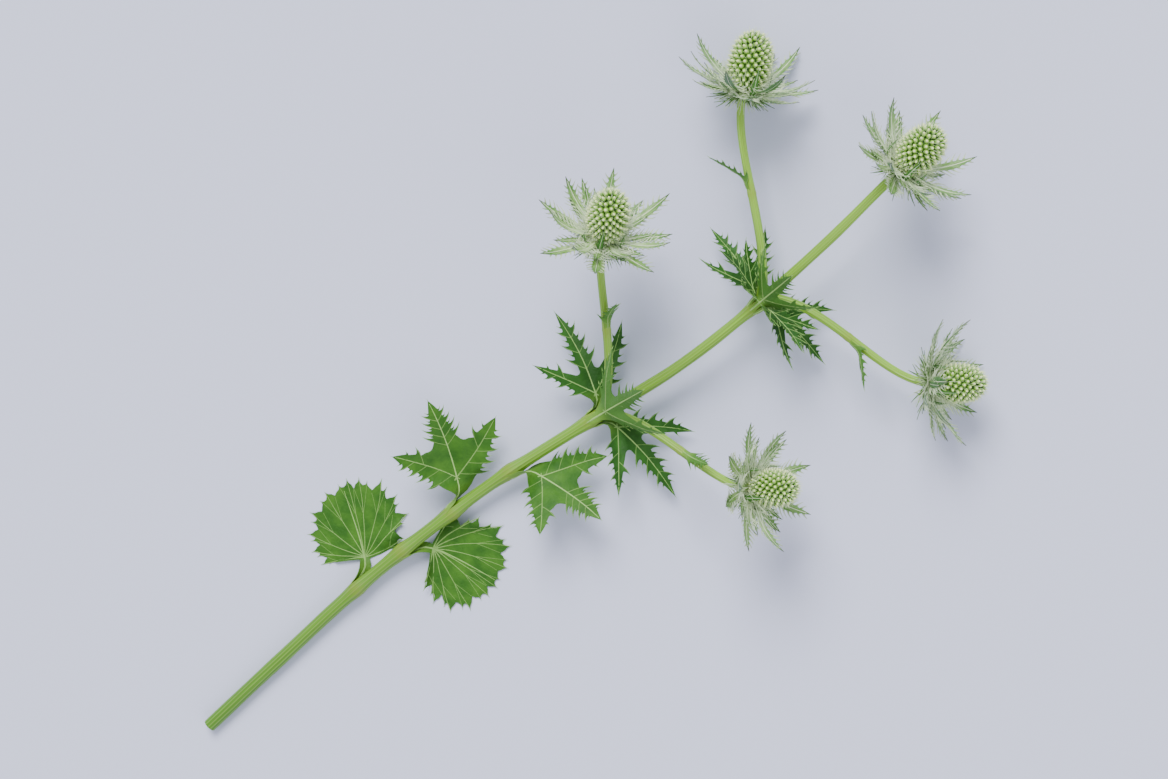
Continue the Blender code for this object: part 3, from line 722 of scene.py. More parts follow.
def bract_material():
    """Spiny bracts: silvery inside, green outside, yellow-green at the root, pale midrib."""
    material, add, _, field = plant_material(
        "silver_bract", ("grain", "inner", "pale"), roughness=0.46, grain_size=0.8, bump=0.04)
    silver = add("ValToRGB", links={0: field["along"]})
    paint_ramp(silver, ((0.0, "a4c244"), (0.12, "cbdd98"), (0.3, settings().bract_inner), (0.56, "adca88"),
                        (0.82, "5f9236"), (1.0, "37421a")))
    green = add("ValToRGB", links={0: field["along"]})
    paint_ramp(green, ((0.0, "9fc032"), (0.16, "86ad40"), (0.4, settings().bract_outer), (0.85, "376826"),
                       (1.0, "40391f")))
    faces = add("Mix", COLOURS, (), {FACTOR: field["inner"], FIRST: (green, 0), SECOND: (silver, 0)})
    stretch = add("Mapping", values={"Scale": (6.0, 1.6, 9.0)}, links={"Vector": field["grain"]})
    veins = add("TexNoise", values={"Scale": 1.0, "Detail": 2.0}, links={"Vector": (stretch, 0)})
    vein_part = add("MapRange", values={"From Min": 0.42, "From Max": 0.62}, links={"Value": (veins, 0)})
    toned = add("Mix", COLOURS, {SECOND: colour_value("477a2e")},
                {FACTOR: field["tone"], FIRST: (faces, MIXED)})
    veined = add("Mix", {**COLOURS, "blend_type": "MULTIPLY"}, {SECOND: colour_value("9dc078")},
                 {FACTOR: (vein_part, 0), FIRST: (toned, MIXED)})
    done = add("Mix", COLOURS, {SECOND: colour_value("e2edcd")},
               {FACTOR: field["pale"], FIRST: (veined, MIXED)})
    return painted(material, done)


def leaf_material(name, colour, light, under):
    """A leaf: mottled green above, paler below, with a pale clasping base and veins."""
    material, add, shader, field = plant_material(
        name, ("grain", "inner", "pale"), roughness=0.55, grain_size=1.6, bump=0.08)
    shader.inputs["Specular IOR Level"].default_value = 0.2
    mottle = add("TexNoise", values={"Scale": 1 / (9 * MM), "Detail": 4.0}, links={"Vector": field["place"]})
    mottle_part = add("MapRange", values={"From Min": 0.35, "From Max": 0.68}, links={"Value": (mottle, 0)})
    net = add("TexVoronoi", {"feature": "DISTANCE_TO_EDGE"}, {"Scale": 1 / (2.6 * MM)},
              {"Vector": field["place"]})
    net_part = add("MapRange", values={"From Max": 0.22}, links={"Value": (net, 0)})
    relief = shader.inputs["Normal"].links[0].from_node
    puffed = add("Bump", values={"Strength": 0.4, "Distance": 0.2 * MM},
                 links={"Height": (net_part, 0), "Normal": (relief, 0)})
    material.node_tree.links.new(puffed.outputs[0], shader.inputs["Normal"])
    green = add("Mix", COLOURS, {FIRST: colour_value(colour), SECOND: colour_value(light)},
                {FACTOR: (mottle_part, 0)})
    faces = add("Mix", COLOURS, {FIRST: colour_value(under)},
                {FACTOR: field["inner"], SECOND: (green, MIXED)})
    base = add("MapRange", values={"From Min": 0.05, "From Max": 0.3, "To Min": 1.0, "To Max": 0.0},
               links={"Value": field["along"]})
    based = add("Mix", COLOURS, {SECOND: colour_value("729c36")}, {FACTOR: (base, 0), FIRST: (faces, MIXED)})
    done = add("Mix", COLOURS, {SECOND: colour_value("96bc6c")},
               {FACTOR: field["pale"], FIRST: (based, MIXED)})
    return painted(material, done)


def add_stalk(shape, stem, build, nodes, ages):
    """A ribbed stalk along a stem, with a swelling at its foot and its neck and a line at each node."""
    sides, spans, ribs, foot, neck = build
    tube = straight_tube(sides, spans)
    grain = vector_layer(tube, "grain")
    age = float_layer(tube, "age")
    joint = float_layer(tube, "joint")
    cut = float_layer(tube, "cut")
    ends = [face for face in tube.faces if len(face.verts) > 4 and face.calc_center_median().z < 0.5]
    for width in (SKIN, RIND):
        bmesh.ops.inset_region(tube, faces=ends, thickness=width)
    rib_height = settings().rib_height / MM
    for vert in tube.verts:
        turn = math.atan2(vert.co.y, vert.co.x)
        out = math.hypot(vert.co.x, vert.co.y)
        distance = stem.length * vert.co.z
        point, _, right, up = stem.frame(distance, 0)
        radius = stem.radius_at(distance) + rib_height * math.cos(ribs * turn)
        radius += WOBBLE * math.sin(distance / WOBBLE_LENGTH + 2 * turn)
        radius += foot * math.exp(-(distance / FOOT_WIDTH) ** 2)
        radius += neck * math.exp(-((stem.length - distance) / NECK_WIDTH) ** 2)
        near = 0.0
        for node in nodes:
            radius += NODE_LINE * math.exp(-((distance - node) / NODE_LINE_WIDTH) ** 2)
            near = max(near, math.exp(-((distance - node) / NODE_TINT_WIDTH) ** 2))
        vert.co = point + (right * math.cos(turn) + up * math.sin(turn)) * radius * out
        vert[grain] = (distance, turn * MAIN_RADIUS, math.cos(ribs * turn))
        vert[age] = ages[0] + (ages[1] - ages[0]) * distance / stem.length
        vert[joint] = near * NODE_TINT
        if out < 0.9 and distance < 1.0:
            vert[cut] = RIND_PALENESS if out > 0.75 else 1.0
    take_in(shape, tube)


def all_stems():
    """The main stem and the side stems."""
    main = main_stem()
    return main, [side_stem(main, *row) for row in SIDE_STEMS]


class SEAHOLLY_OT_stalks(bpy.types.Operator):
    """Adds the ribbed main stem and the side stems"""
    bl_idname = "seaholly.stalks"
    bl_label = "Stalks"

    def execute(self, context):
        main, sides = all_stems()
        material = stalk_material()
        shape = bmesh.new()
        add_stalk(shape, main, MAIN_STALK, STEM_NODES, MAIN_AGES)
        finish_piece(shape, "stalk_main", material, "main_stem")
        for number, stem in enumerate(sides):
            shape = bmesh.new()
            leaf_at = stem.length * SIDE_LEAVES[number][1]
            add_stalk(shape, stem, SIDE_STALK, (leaf_at,), SIDE_AGES)
            finish_piece(shape, "stalk_side_%d" % (number + 1), material,
                         "side_stem_%d" % (number + 1))
        return {"FINISHED"}


def head_frame_at(head, azimuth):
    return frame_round(Vector(HEADS[head][0]), Vector(HEADS[head][1]).normalized(), azimuth)


def head_matrix(head):
    """Turns a shape made round +Z, with the collar's middle at the origin, onto a head."""
    point, direction, right, _ = head_frame_at(head, 0)
    up = direction.cross(right)
    turn = Matrix((right, up, direction)).transposed()
    return Matrix.Translation(point) @ turn.to_4x4()


def cone_radius(height):
    """Half the width of the cone at a height, without the buds' points."""
    if height < CONE_WIDEST:
        return CONE_RADIUS * math.sqrt(1 - ((CONE_WIDEST - height) / CONE_BASE_DEPTH) ** 2)
    part = (height - CONE_WIDEST) / (CONE_LENGTH - CONE_WIDEST)
    return CONE_RADIUS * math.sqrt(max(1 - part ** 2.4, 0.0))


def bud_places():
    """Where the buds stand on the cone: evenly spread by area, each a golden turn from the last."""
    steps = 400
    heights = [CONE_LENGTH * step / steps for step in range(steps + 1)]
    areas = [0.0]
    for low, high in zip(heights, heights[1:]):
        slant = math.hypot(high - low, cone_radius(high) - cone_radius(low))
        areas.append(areas[-1] + slant * (cone_radius(low) + cone_radius(high)) / 2)
    places = []
    index = 0
    for bud in range(BUDS):
        area = areas[-1] * (bud + 0.5) / BUDS
        while areas[index + 1] < area:
            index += 1
        height = heights[index]
        rise = heights[index + 1] - heights[index]
        run = cone_radius(heights[index + 1]) - cone_radius(height)
        turn = bud * GOLDEN_TURN
        facing = Vector((rise * math.cos(turn), rise * math.sin(turn), -run)).normalized()
        radius = cone_radius(height)
        places.append((Vector((radius * math.cos(turn), radius * math.sin(turn), height)), facing))
    return places


def bud_template():
    """One bud in its cup, with few sides so that a cone of them stays light."""
    shape = lathe(BUD_PROFILE, BUD_SIDES)
    bud = float_layer(shape, "bud")
    # The bud value runs from foot to tip; the sunken foot takes the ramp's dark green, painted shade in the
    # gaps between buds
    for vert in shape.verts:
        vert[bud] = clamped((vert.co.z + 0.4) / BUD_HEIGHT)
    mesh = bpy.data.meshes.new("bud")
    shape.to_mesh(mesh)
    shape.free()
    return mesh


def add_to_heads(build, material, name, node):
    """Adds a piece of one kind to each head, numbered from 1."""
    for head in range(len(HEADS)):
        shape = bmesh.new()
        build(shape, head)
        finish_piece(shape, "%s_%d" % (name, head + 1), material, "%s_%d" % (node, head + 1))


def aim(place, facing, scale):
    """Puts a shape made up +Z at a place, facing a way."""
    turn = Vector((0, 0, 1)).rotation_difference(facing).to_matrix().to_4x4()
    return Matrix.Translation(place) @ turn @ Matrix.Diagonal((scale, scale, scale, 1.0))


def add_cone(shape, head):
    """The cone of one head: a core painted dark green as shade, its buds, and pale needles between them."""
    draw = random.Random(300 + head)
    seat = head_matrix(head) @ Matrix.Translation((0, 0, COLLAR_TOP + SEAT_GAP))
    seat = seat @ Matrix.Scale(HEADS[head][2], 4)
    profile = [(0.0, 0.0)]
    for ring in range(CORE_RINGS):
        height = CONE_LENGTH * ring / CORE_RINGS
        profile.append((max(cone_radius(height) - CORE_DEPTH, 0.0), height * (1 - CORE_DEPTH / CONE_LENGTH)))
    profile.append((0.0, CONE_LENGTH - CORE_DEPTH))
    core = lathe(profile, 32)
    bud_layer = float_layer(core, "bud")
    # The core takes the dark green of painted shade between the buds
    for vert in core.verts:
        vert[bud_layer] = CORE_PAINTED_SHADE
    take_in(shape, core, seat)
    bud = bud_template()
    needles = []
    needle_length = settings().needle / MM
    for place, facing in bud_places():
        raised = (facing + BUD_RISE).normalized()
        part = place.z / CONE_LENGTH
        size = draw.uniform(*BUD_SIZES) * (1.0 - 0.12 * max(part - 0.8, 0.0) / 0.2)
        add_copy(shape, bud, seat @ aim(place - facing * BUD_SINK, raised, size))
        side = raised.orthogonal().normalized()
        for number in range(NEEDLES_A_BUD):
            turn = math.tau * (number + draw.uniform(-0.3, 0.3)) / NEEDLES_A_BUD
            away = side * math.cos(turn) + raised.cross(side) * math.sin(turn)
            lean = (raised + away * draw.uniform(*NEEDLE_SPREAD) + NEEDLE_RISE).normalized()
            root = place - facing * BUD_SINK + away * NEEDLE_OUT
            tip = root + lean * (needle_length * draw.uniform(*NEEDLE_LENGTHS))
            needles.append(list(zip((seat @ root, seat @ tip), NEEDLE_RADII)))
    add_tubes(shape, needles, 1.0)
    bpy.data.meshes.remove(bud)


class SEAHOLLY_OT_cones(bpy.types.Operator):
    """Adds the cone of buds of each head"""
    bl_idname = "seaholly.cones"
    bl_label = "Flower cones"

    def execute(self, context):
        add_to_heads(add_cone, bud_material(), "cone", "flower_cone")
        return {"FINISHED"}


def spine(at, width, root, reach, lean, curl):
    """One curved spine on the edge of a blade, from its near root to its far root."""
    turns = [math.radians(lean + curl * part) for part in (1.0, 0.5, 0.0)]
    axis = [Vector((at, width))]
    for turn in turns:
        axis.append(axis[-1] + Vector((math.cos(turn), math.sin(turn))) * reach / 3)
    near = []
    far = []
    for step, half in ((1, 0.26), (2, 0.12)):
        turn = turns[step - 1]
        side = Vector((-math.sin(turn), math.cos(turn))) * root * half
        near.append(tuple(axis[step] + side))
        far.append(tuple(axis[step] - side))
    return [(at - root / 2, width)] + near + [tuple(axis[3])] + far[::-1] + [(at + root / 2, width * 0.97)]


def bract_width(part):
    """Half the width of a bract, by how far along it is: widest past its middle."""
    body = 0.95 + 1.45 * math.sin(math.pi * min(part, 1.0) ** 1.6)
    return body * min(1.0, max(1.0 - part, 0.0) / 0.3) ** 0.8


def bract_edge(length, spines, first, last, scale, draw):
    """One edge of a bract: long thin spines near its root, short broad ones further out."""
    points = []
    for number in range(spines):
        part = first + (last - first) * (number + 0.5) / spines
        reach = (9.4 - 7.2 * part) * scale * draw.uniform(0.75, 1.2)
        root = (0.7 + 1.1 * part) * scale
        lean = 50.0 - 18.0 * part + draw.uniform(-6, 6)
        points += spine(part * length, bract_width(part) * scale, root, reach, lean, 16.0)
    points.append((length, 0.0))
    return points


def flipped(points):
    """The same points on the other side of the midrib."""
    return [(along, -across) for along, across in points]


def mirrored(edge):
    """The other edge of a lobe, from its tip back to its root, without the tip itself."""
    return flipped(edge[:-1])[::-1]


def rested(head_frame, length, start_lean, end_lean, root, height, floor):
    """The midrib of a bract, curled forward until it stays above the surface."""
    point, direction, outward, _ = head_frame
    while True:
        def lean_at(distance, end=end_lean):
            return start_lean + (end - start_lean) * distance / length
        rib = Rib(length, root, height, lean_at)
        low = min((point + direction * along + outward * out).z for out, along, _ in rib.places)
        if low >= floor or end_lean < CURLED_MOST:
            return rib
        end_lean -= 1


def rib_path(place, length, thick, thin):
    """A tube's path along the midrib of a blade."""
    parts = [step / MIDRIB_SPANS for step in range(MIDRIB_SPANS + 1)]
    return [(place(length * part, 0.0), thick + (thin - thick) * part) for part in parts]


def add_strip(shape, outline, place, cut, tone, pale_at=None):
    """A narrow blade, creased along its midrib and cut across at even steps."""
    add_blade(shape, outline, place, (even_cuts(0, max(outline)[0], cut), (0.0,)), tone, pale_at)


def add_bract(shape, head_frame, length, rib, floor, scale, spines, tone, draw):
    """A spiny bract with a raised pale midrib."""
    width = BRACT_ROOT_WIDTH * scale
    outline = [(0.0, width)] + bract_edge(length, spines, 0.06, 0.86, scale, draw)
    outline += mirrored(bract_edge(length, spines, 0.10, 0.92, scale, draw)) + [(0.0, -width)]
    phase = draw.uniform(0, math.tau)

    def puff(along, across):
        return 0.035 * across * across * math.sin(along * 0.35 + phase)

    def pale_at(along, across):
        beyond = abs(across) - bract_width(along / length) * scale
        return clamped(beyond) * (0.95 - 0.55 * along / length)

    place = bender(head_frame, rib, lambda _along: BRACT_CUP, floor, puff=puff)
    add_strip(shape, outline, place, BRACT_CUT, tone, pale_at)
    return rib_path(place, length * 0.93, BRACT_MIDRIB * scale, BRACT_MIDRIB_END)


def add_skirt_lobe(shape, head_frame, length, lean, draw):
    """A thin lobe under the bracts, split into two or three points."""
    floor = FLOOR + LOW_CLEARANCE
    rib = rested(head_frame, length, lean, lean - 12, COLLAR_WAIST, -1.5, floor)
    width = LOBE_HALF_WIDTH
    left = spine(length * 0.4, width * 0.8, 0.9, length * 0.45, 28.0, 12.0)
    right = spine(length * draw.uniform(0.5, 0.6), width * 0.7, 0.9, length * 0.35, 28.0, 12.0)
    outline = [(0.0, width)] + left + [(length, 0.0)] + flipped(right)[::-1] + [(0.0, -width)]
    place = bender(head_frame, rib, lambda _along: LOBE_CUP, floor)
    add_strip(shape, outline, place, LOBE_CUT, draw.uniform(0.0, 0.25))


def rising_lean(distance):
    """The lean of a short bract, which is flat over the collar and then turns up in a tight curve."""
    return clamped(90.0 - (distance - SHORT_FLAT) * SHORT_TURN, high=90.0)


def add_short_bract(shape, head_frame, size, part, tone):
    """A short bract that leaves the collar flat, then rises along the cone."""
    length = SHORT_LENGTH * part
    rib = Rib(length, SHORT_ROOT_OUT + 12.0 * (size - 1.0), -0.2, rising_lean)
    place = bender(head_frame, rib, lambda _along: SHORT_CUP, FLOOR + LOW_CLEARANCE)
    edge = [(0.0, 1.0), (length * 0.3, 1.4)] + spine(length * 0.5, 1.6, 0.8, 2.4, 30.0, 10.0)
    edge += [(length * 0.76, 1.0), (length, 0.0)]
    add_strip(shape, edge + mirrored(edge), place, SHORT_CUT, tone)
    return rib_path(place, length * 0.95, *SHORT_MIDRIB)


def add_ruff(shape, head):
    """The collar of one head with all that grows on it."""
    draw = random.Random(100 + head)
    fine = random.Random(500 + head)
    size = HEADS[head][2]
    midribs = []
    for first, height, start_lean, end_lean, length, lift in BRACT_LAYERS:
        for number in range(BRACTS_ROUND):
            azimuth = first + 360.0 * number / BRACTS_ROUND + draw.uniform(-5, 5)
            head_frame = head_frame_at(head, azimuth)
            long = length * size * draw.uniform(0.88, 1.08)
            start = start_lean + draw.uniform(-4, 4)
            end = end_lean + draw.uniform(-8, 8)
            floor = FLOOR + 0.05 + BRACT_LIFT * ((number + 1) % 2) + lift
            rib = rested(head_frame, long, start, end, BRACT_ROOT_OUT, height, floor)
            midribs.append(add_bract(shape, head_frame, long, rib, floor, 1.0, BRACT_SPINES,
                                     fine.uniform(0.0, 0.35), fine))
    for number in range(SKIRT_LOBES):
        azimuth = 14.0 + 360.0 * number / SKIRT_LOBES + draw.uniform(-6, 6)
        length = draw.uniform(*SKIRT_LENGTHS)
        add_skirt_lobe(shape, head_frame_at(head, azimuth), length, draw.uniform(*SKIRT_LEANS), fine)
    for azimuth in SHORT_BRACTS:
        head_frame = head_frame_at(head, azimuth + draw.uniform(-20, 20))
        midribs.append(add_short_bract(shape, head_frame, size, 1.0, 0.85))
    midribs += add_finer_growth(shape, head, fine)
    add_tubes(shape, midribs, 0.85)
    add_whiskers(shape, head, fine)
    profile = ((0.0, COLLAR_BOTTOM), (COLLAR_WAIST, COLLAR_BOTTOM), (COLLAR_RADIUS - 0.8, -1.7),
               (COLLAR_RADIUS, -0.6), (COLLAR_RADIUS, 0.4), (COLLAR_RADIUS - 0.7, COLLAR_TOP),
               (0.0, COLLAR_TOP))
    take_in(shape, lathe(profile, 24), head_matrix(head))


def add_finer_growth(shape, head, draw):
    """Fine bracts, thin lobes and more short bracts between the main ones; gives back their midribs."""
    size = HEADS[head][2]
    midribs = []
    count = settings().fine_bracts
    for number in range(count):
        head_frame = head_frame_at(head, 13.0 + 360.0 * number / count + draw.uniform(-9, 9))
        long = draw.uniform(*FINE_LENGTHS) * size
        start = draw.uniform(*FINE_LEANS)
        floor = FLOOR + 0.4
        rib = rested(head_frame, long, start, start - draw.uniform(*FINE_CURLS), BRACT_ROOT_OUT, -0.4, floor)
        midribs.append(add_bract(shape, head_frame, long, rib, floor, FINE_SCALE, FINE_SPINES,
                                 draw.uniform(0.0, 0.3), draw))
    for number in range(settings().skirt_lobes):
        azimuth = 360.0 * (number + draw.uniform(-0.4, 0.4)) / settings().skirt_lobes
        add_skirt_lobe(shape, head_frame_at(head, azimuth), draw.uniform(*THIN_LENGTHS),
                       draw.uniform(*THIN_LEANS), draw)
    for azimuth in MORE_SHORT_BRACTS:
        head_frame = head_frame_at(head, azimuth + draw.uniform(-20, 20))
        midribs.append(add_short_bract(shape, head_frame, size, draw.uniform(*MORE_SHORT_PARTS),
                                       draw.uniform(0.3, 0.9)))
    return midribs


def add_whiskers(shape, head, draw):
    """A nest of thin curved whiskers round the foot of the cone."""
    seat = head_matrix(head)
    paths = []
    for number in range(settings().whiskers):
        turn = number * GOLDEN_TURN
        reach, height, leans, lengths = WHISKER_RINGS[number % len(WHISKER_RINGS)]
        lean = math.radians(draw.uniform(*leans))
        outward = Vector((math.cos(turn), math.sin(turn), 0.0))
        sideways = Vector((-math.sin(turn), math.cos(turn), 0.0)) * draw.uniform(*WHISKER_SWAY)
        facing = (outward * math.sin(lean) + Vector((0, 0, math.cos(lean))) + sideways).normalized()
        root = outward * draw.uniform(*reach) + Vector((0, 0, draw.uniform(*height)))
        length = draw.uniform(*lengths)
        rise = Vector((0, 0, draw.uniform(*WHISKER_RISE)))
        corners = (root, root + facing * length * 0.5 + rise * 0.25, root + facing * length + rise)
        corners = [seat @ corner for corner in corners]
        for corner in corners:
            corner.z = max(corner.z, FLOOR)
        paths.append(list(zip(corners, WHISKER_RADII)))
    add_tubes(shape, paths, 0.8)


class SEAHOLLY_OT_ruffs(bpy.types.Operator):
    """Adds the ruff of spiny bracts of each head"""
    bl_idname = "seaholly.ruffs"
    bl_label = "Bract ruffs"

    def execute(self, context):
        add_to_heads(add_ruff, bract_material(), "ruff", "bract_ruff")
        return {"FINISHED"}


def leaf_lean(sheath, opening, spread, droop):
    """A leaf runs up its stem along a sheath, opens to its spread, then droops."""
    def lean_at(distance):
        return spread * eased(clamped((distance - sheath) / opening)) + droop * max(distance - sheath, 0.0)

    return lean_at


def leaf_twist(sheath, opening, azimuth, face_up):
    """A leaf at the side of the stem turns its upper face towards the sky."""
    def twist_at(distance):
        part = eased(clamped((distance - sheath) / (opening * 1.5)))
        return math.radians(face_up) * math.cos(math.radians(azimuth)) * part

    return twist_at


def leaf_wrap(sheath, opening, stem_radius, cup):
    """A leaf is rolled round its stem at its base and opens to a slight cup."""
    def wrap_at(distance):
        part = clamped((distance - sheath) / opening)
        return (1 - part) / stem_radius + cup * part

    return wrap_at


def add_leaf(node, stem, distance, azimuth, drawing, shape_row, material, floor, relief):
    """One finished leaf; drawing is its outline and veins, relief its fold and its waves."""
    length, sheath, opening, spread, droop, cup, face_up = shape_row
    outline, veins = drawing
    radius = max(stem.radius_at(distance + step) for step in (0.0, sheath / 2, sheath))
    start = radius + SEAT_GAP + SOLID_BLADE / 2
    rib = Rib(length, start, 0.0, leaf_lean(sheath, opening, spread, droop))
    for number in range(int(sheath / Rib.STEP)):
        out, forward, lean = rib.places[number]
        rib.places[number] = (out - SHEATH_SINK * (1 - number * Rib.STEP / sheath) ** 1.5, forward, lean)
    veins = [(smooth_flat(curved(points)), thick, thin) for points, thick, thin in veins]
    place = bender(stem.frame(distance, azimuth), rib, leaf_wrap(sheath, opening, start, cup), floor,
                   leaf_twist(sheath, opening, azimuth, face_up), quilted(veins, sheath + opening, *relief))
    shape = bmesh.new()
    cuts = [even_cuts(min(row), max(row), step) for row, step in zip(zip(*outline), LEAF_CUTS)]
    add_blade(shape, outline, place, cuts, 0.0)
    margin = smooth_flat(outline[len(base_edge(1.0)):])
    add_tubes(shape, [[(place(*corner), MARGIN) for corner in margin]], 0.05)
    tips = []
    for corner, direction in sharp_tips(outline):
        spots = (corner - direction * TIP_BACK, corner, corner + direction * TIP_ON)
        tips.append([(place(*spot), radius) for spot, radius in zip(spots, TIP_RADII)])
    add_tubes(shape, tips, 0.9)
    for corners, thick, thin in veins:
        count = len(corners) - 1
        path = [(place(*corner, VEIN_LIFT), thick + (thin - thick) * number / count)
                for number, corner in enumerate(corners)]
        add_tubes(shape, [path], min(thick / CUT_MIDRIB[0], 1.0))
    finish_piece(shape, "dressed_" + node, material, node)


def quilted(veins, opened, fold, ripple):
    """The relief of a blade: folded up from its main veins, raised between the small ones, and rippled."""
    main = []
    small = []
    for corners, thick, _ in veins:
        runs = main if thick > SMALL_VEIN else small
        runs += [(Vector(a), Vector(b)) for a, b in zip(corners, corners[1:])]

    def off(spot, runs):
        nearest = 100.0
        for a, b in runs:
            run = b - a
            part = clamped((spot - a).dot(run) / run.length_squared)
            nearest = min(nearest, (spot - a - run * part).length)
        return nearest

    def puff(along, across):
        fade = clamped((along - opened * 0.4) / (opened * 0.6))
        if fade == 0.0:
            return 0.0
        spot = Vector((along, across))
        far = off(spot, main)
        near = min(far, off(spot, small))
        rise = fold * (math.hypot(min(far, FOLD_REACH), FOLD_ROUND) - FOLD_ROUND)
        rise += QUILT * (math.hypot(min(near, QUILT_REACH), QUILT_ROUND) - QUILT_ROUND)
        return fade * rise + ripple(along, across)

    return puff


def curved(points):
    """Three flat points as a smooth curve through them; other runs of points stay as they are."""
    if len(points) != 3:
        return points
    start, middle, end = [Vector(point) for point in points]
    pull = middle * 2 - (start + end) / 2
    places = [step / 8 for step in range(9)]
    return [tuple(start * (1 - t) ** 2 + pull * 2 * t * (1 - t) + end * t ** 2) for t in places]


def sharp_tips(outline):
    """Each pointed outward corner of an outline, with the way it points."""
    corners = [Vector(point) for point in outline]
    area = sum(a.x * b.y - b.x * a.y for a, b in zip(corners, corners[1:] + corners[:1]))
    for before, here, after in zip(corners[-1:] + corners[:-1], corners, corners[1:] + corners[:1]):
        back = (before - here).normalized()
        on = (after - here).normalized()
        turning = (on.x * back.y - on.y * back.x) * area
        if turning > 0 and back.angle(on) < SHARP:
            yield here, -(back + on).normalized()


def smooth_flat(points):
    """Flat points no more than about 2.5 mm apart along straight runs."""
    corners = [points[0]]
    for before, after in zip(points, points[1:]):
        run = math.hypot(after[0] - before[0], after[1] - before[1])
        count = max(int(run / 2.5), 1)
        for step in range(1, count + 1):
            part = step / count
            corners.append((before[0] + (after[0] - before[0]) * part,
                            before[1] + (after[1] - before[1]) * part))
    return corners


def base_edge(base):
    """The rounded lower end of a leaf, which lies round its stem."""
    return [(1.8, -base), (0.5, -base / 2), (0.0, 0.0), (0.5, base / 2), (1.8, base)]


def turned(points, degrees, fork):
    """Lobe points turned about the fork of a leaf."""
    turn = math.radians(degrees)
    return [(fork + along * math.cos(turn) - across * math.sin(turn),
             along * math.sin(turn) + across * math.cos(turn)) for along, across in points]


def lobe_edge(length, half_width, teeth, reach, first, last, root):
    """One edge of a lobe: curved teeth, each with a smaller one after it, then the tip.

    Gives back the points and, for each tooth, where it leaves the edge and its tip.
    """
    step = (last - first) / teeth
    root = min(root, 0.52 * step * length)
    points = []
    tips = []
    for tooth in range(teeth):
        start = first + step * tooth
        long = reach * (1 - 0.45 * tooth / teeth)
        for offset, scale in ((0.0, 1.0), (0.55, 0.42)):
            part = min(start + step * offset, 0.96)
            width = half_width * (1 - part) ** 0.68
            wide = root * (1.0 if offset == 0.0 else 0.5)
            at = part * length + wide / 2
            if at + wide / 2 > length * 0.985:
                continue
            tooth_points = spine(at, width, wide, long * scale * 1.06, 40.0, 22.0)
            points += tooth_points
            if offset == 0.0:
                tips.append(((at - wide * 0.3, 0.0), tooth_points[3]))
    points.append((length, 0.0))
    return points, tips


def lobe_veins(tips, sign, angle, fork):
    """Side veins of a lobe, from its midrib towards its teeth."""
    veins = []
    for (along, _), (tip_along, tip_across) in tips:
        start = (max(along - abs(tip_across) * 0.5, 1.0), 0.0)
        end = (tip_along, sign * tip_across)
        bend = (start[0] + (end[0] - start[0]) * 0.45, end[1] * 0.55)
        veins.append((turned([start, bend, end], angle, fork), *TOOTH_VEIN))
    return veins


def cut_leaf(length, fork, base, lobe_width, reach, side_angle, side_part=0.8, teeth=3):
    """A leaf cut into three spiny lobes, as its outline and its veins."""
    middle = length - fork
    side = middle * side_part
    root = reach * 0.6
    bay = lobe_width / math.tan(math.radians(side_angle / 2)) * 1.15
    outer, outer_tips = lobe_edge(side, lobe_width, teeth, reach, 0.2, 0.9, root)
    inner, inner_tips = lobe_edge(side, lobe_width, 1, reach * 0.8, max(bay / side * 1.1, 0.55), 0.92, root)
    edge, tips = lobe_edge(middle, lobe_width * 1.1, teeth, reach, max(bay / middle * 1.1, 0.36), 0.88, root)
    right = turned(flipped(outer) + inner[:-1][::-1], -side_angle, fork)
    notch = [(bay * (1 + 0.014 * step * step), lobe_width * 0.16 * step) for step in (-2, -1, 0, 1, 2)]
    centre = turned(flipped(edge) + edge[:-1][::-1], 0, fork)
    outline = base_edge(base)[::-1] + [(fork * 0.55, -base * 0.9)] + right
    outline += turned(notch, -side_angle / 2, fork) + centre + turned(notch, side_angle / 2, fork)
    outline += flipped(right)[::-1] + [(fork * 0.55, base * 0.9)]
    veins = [([(1.0, 0.0), (fork, 0.0), (fork + middle * 0.96, 0.0)], *CUT_MIDRIB)]
    for sign in (-1, 1):
        veins.append((turned([(-2.0, 0.0), (side * 0.96, 0.0)], sign * side_angle, fork), *LOBE_VEIN))
        veins += lobe_veins(outer_tips, sign, sign * side_angle, fork)
        veins += lobe_veins(inner_tips, -sign, sign * side_angle, fork)
        veins += lobe_veins(tips, sign, 0, fork)
    return outline, veins


def strap_leaf(length, base, half_width, teeth, reach):
    """A long leaf with spiny edges, as its outline and its veins."""
    edge, tips = lobe_edge(length, half_width, teeth, reach, 0.22, 0.92, reach * 0.6)
    outline = base_edge(base) + [(length * 0.1, base * 0.9)] + edge + mirrored(edge)
    outline += [(length * 0.1, -base * 0.9)]
    veins = [([(0.5, 0.0), (length * 0.96, 0.0)], *STRAP_MIDRIB)]
    for sign in (-1, 1):
        veins += lobe_veins(tips, sign, 0, 0.0)
    return outline, veins


# How a tooth of a broad leaf stands out, from the valley before it to the one after, as (part of the
# way round, part of its depth)
FAN_TOOTH = ((0.10, 0.30), (0.21, 0.62), (0.26, 1.0), (0.32, 0.52), (0.44, 0.26), (0.57, 0.34),
             (0.64, 0.62), (0.69, 0.28), (0.84, 0.06))


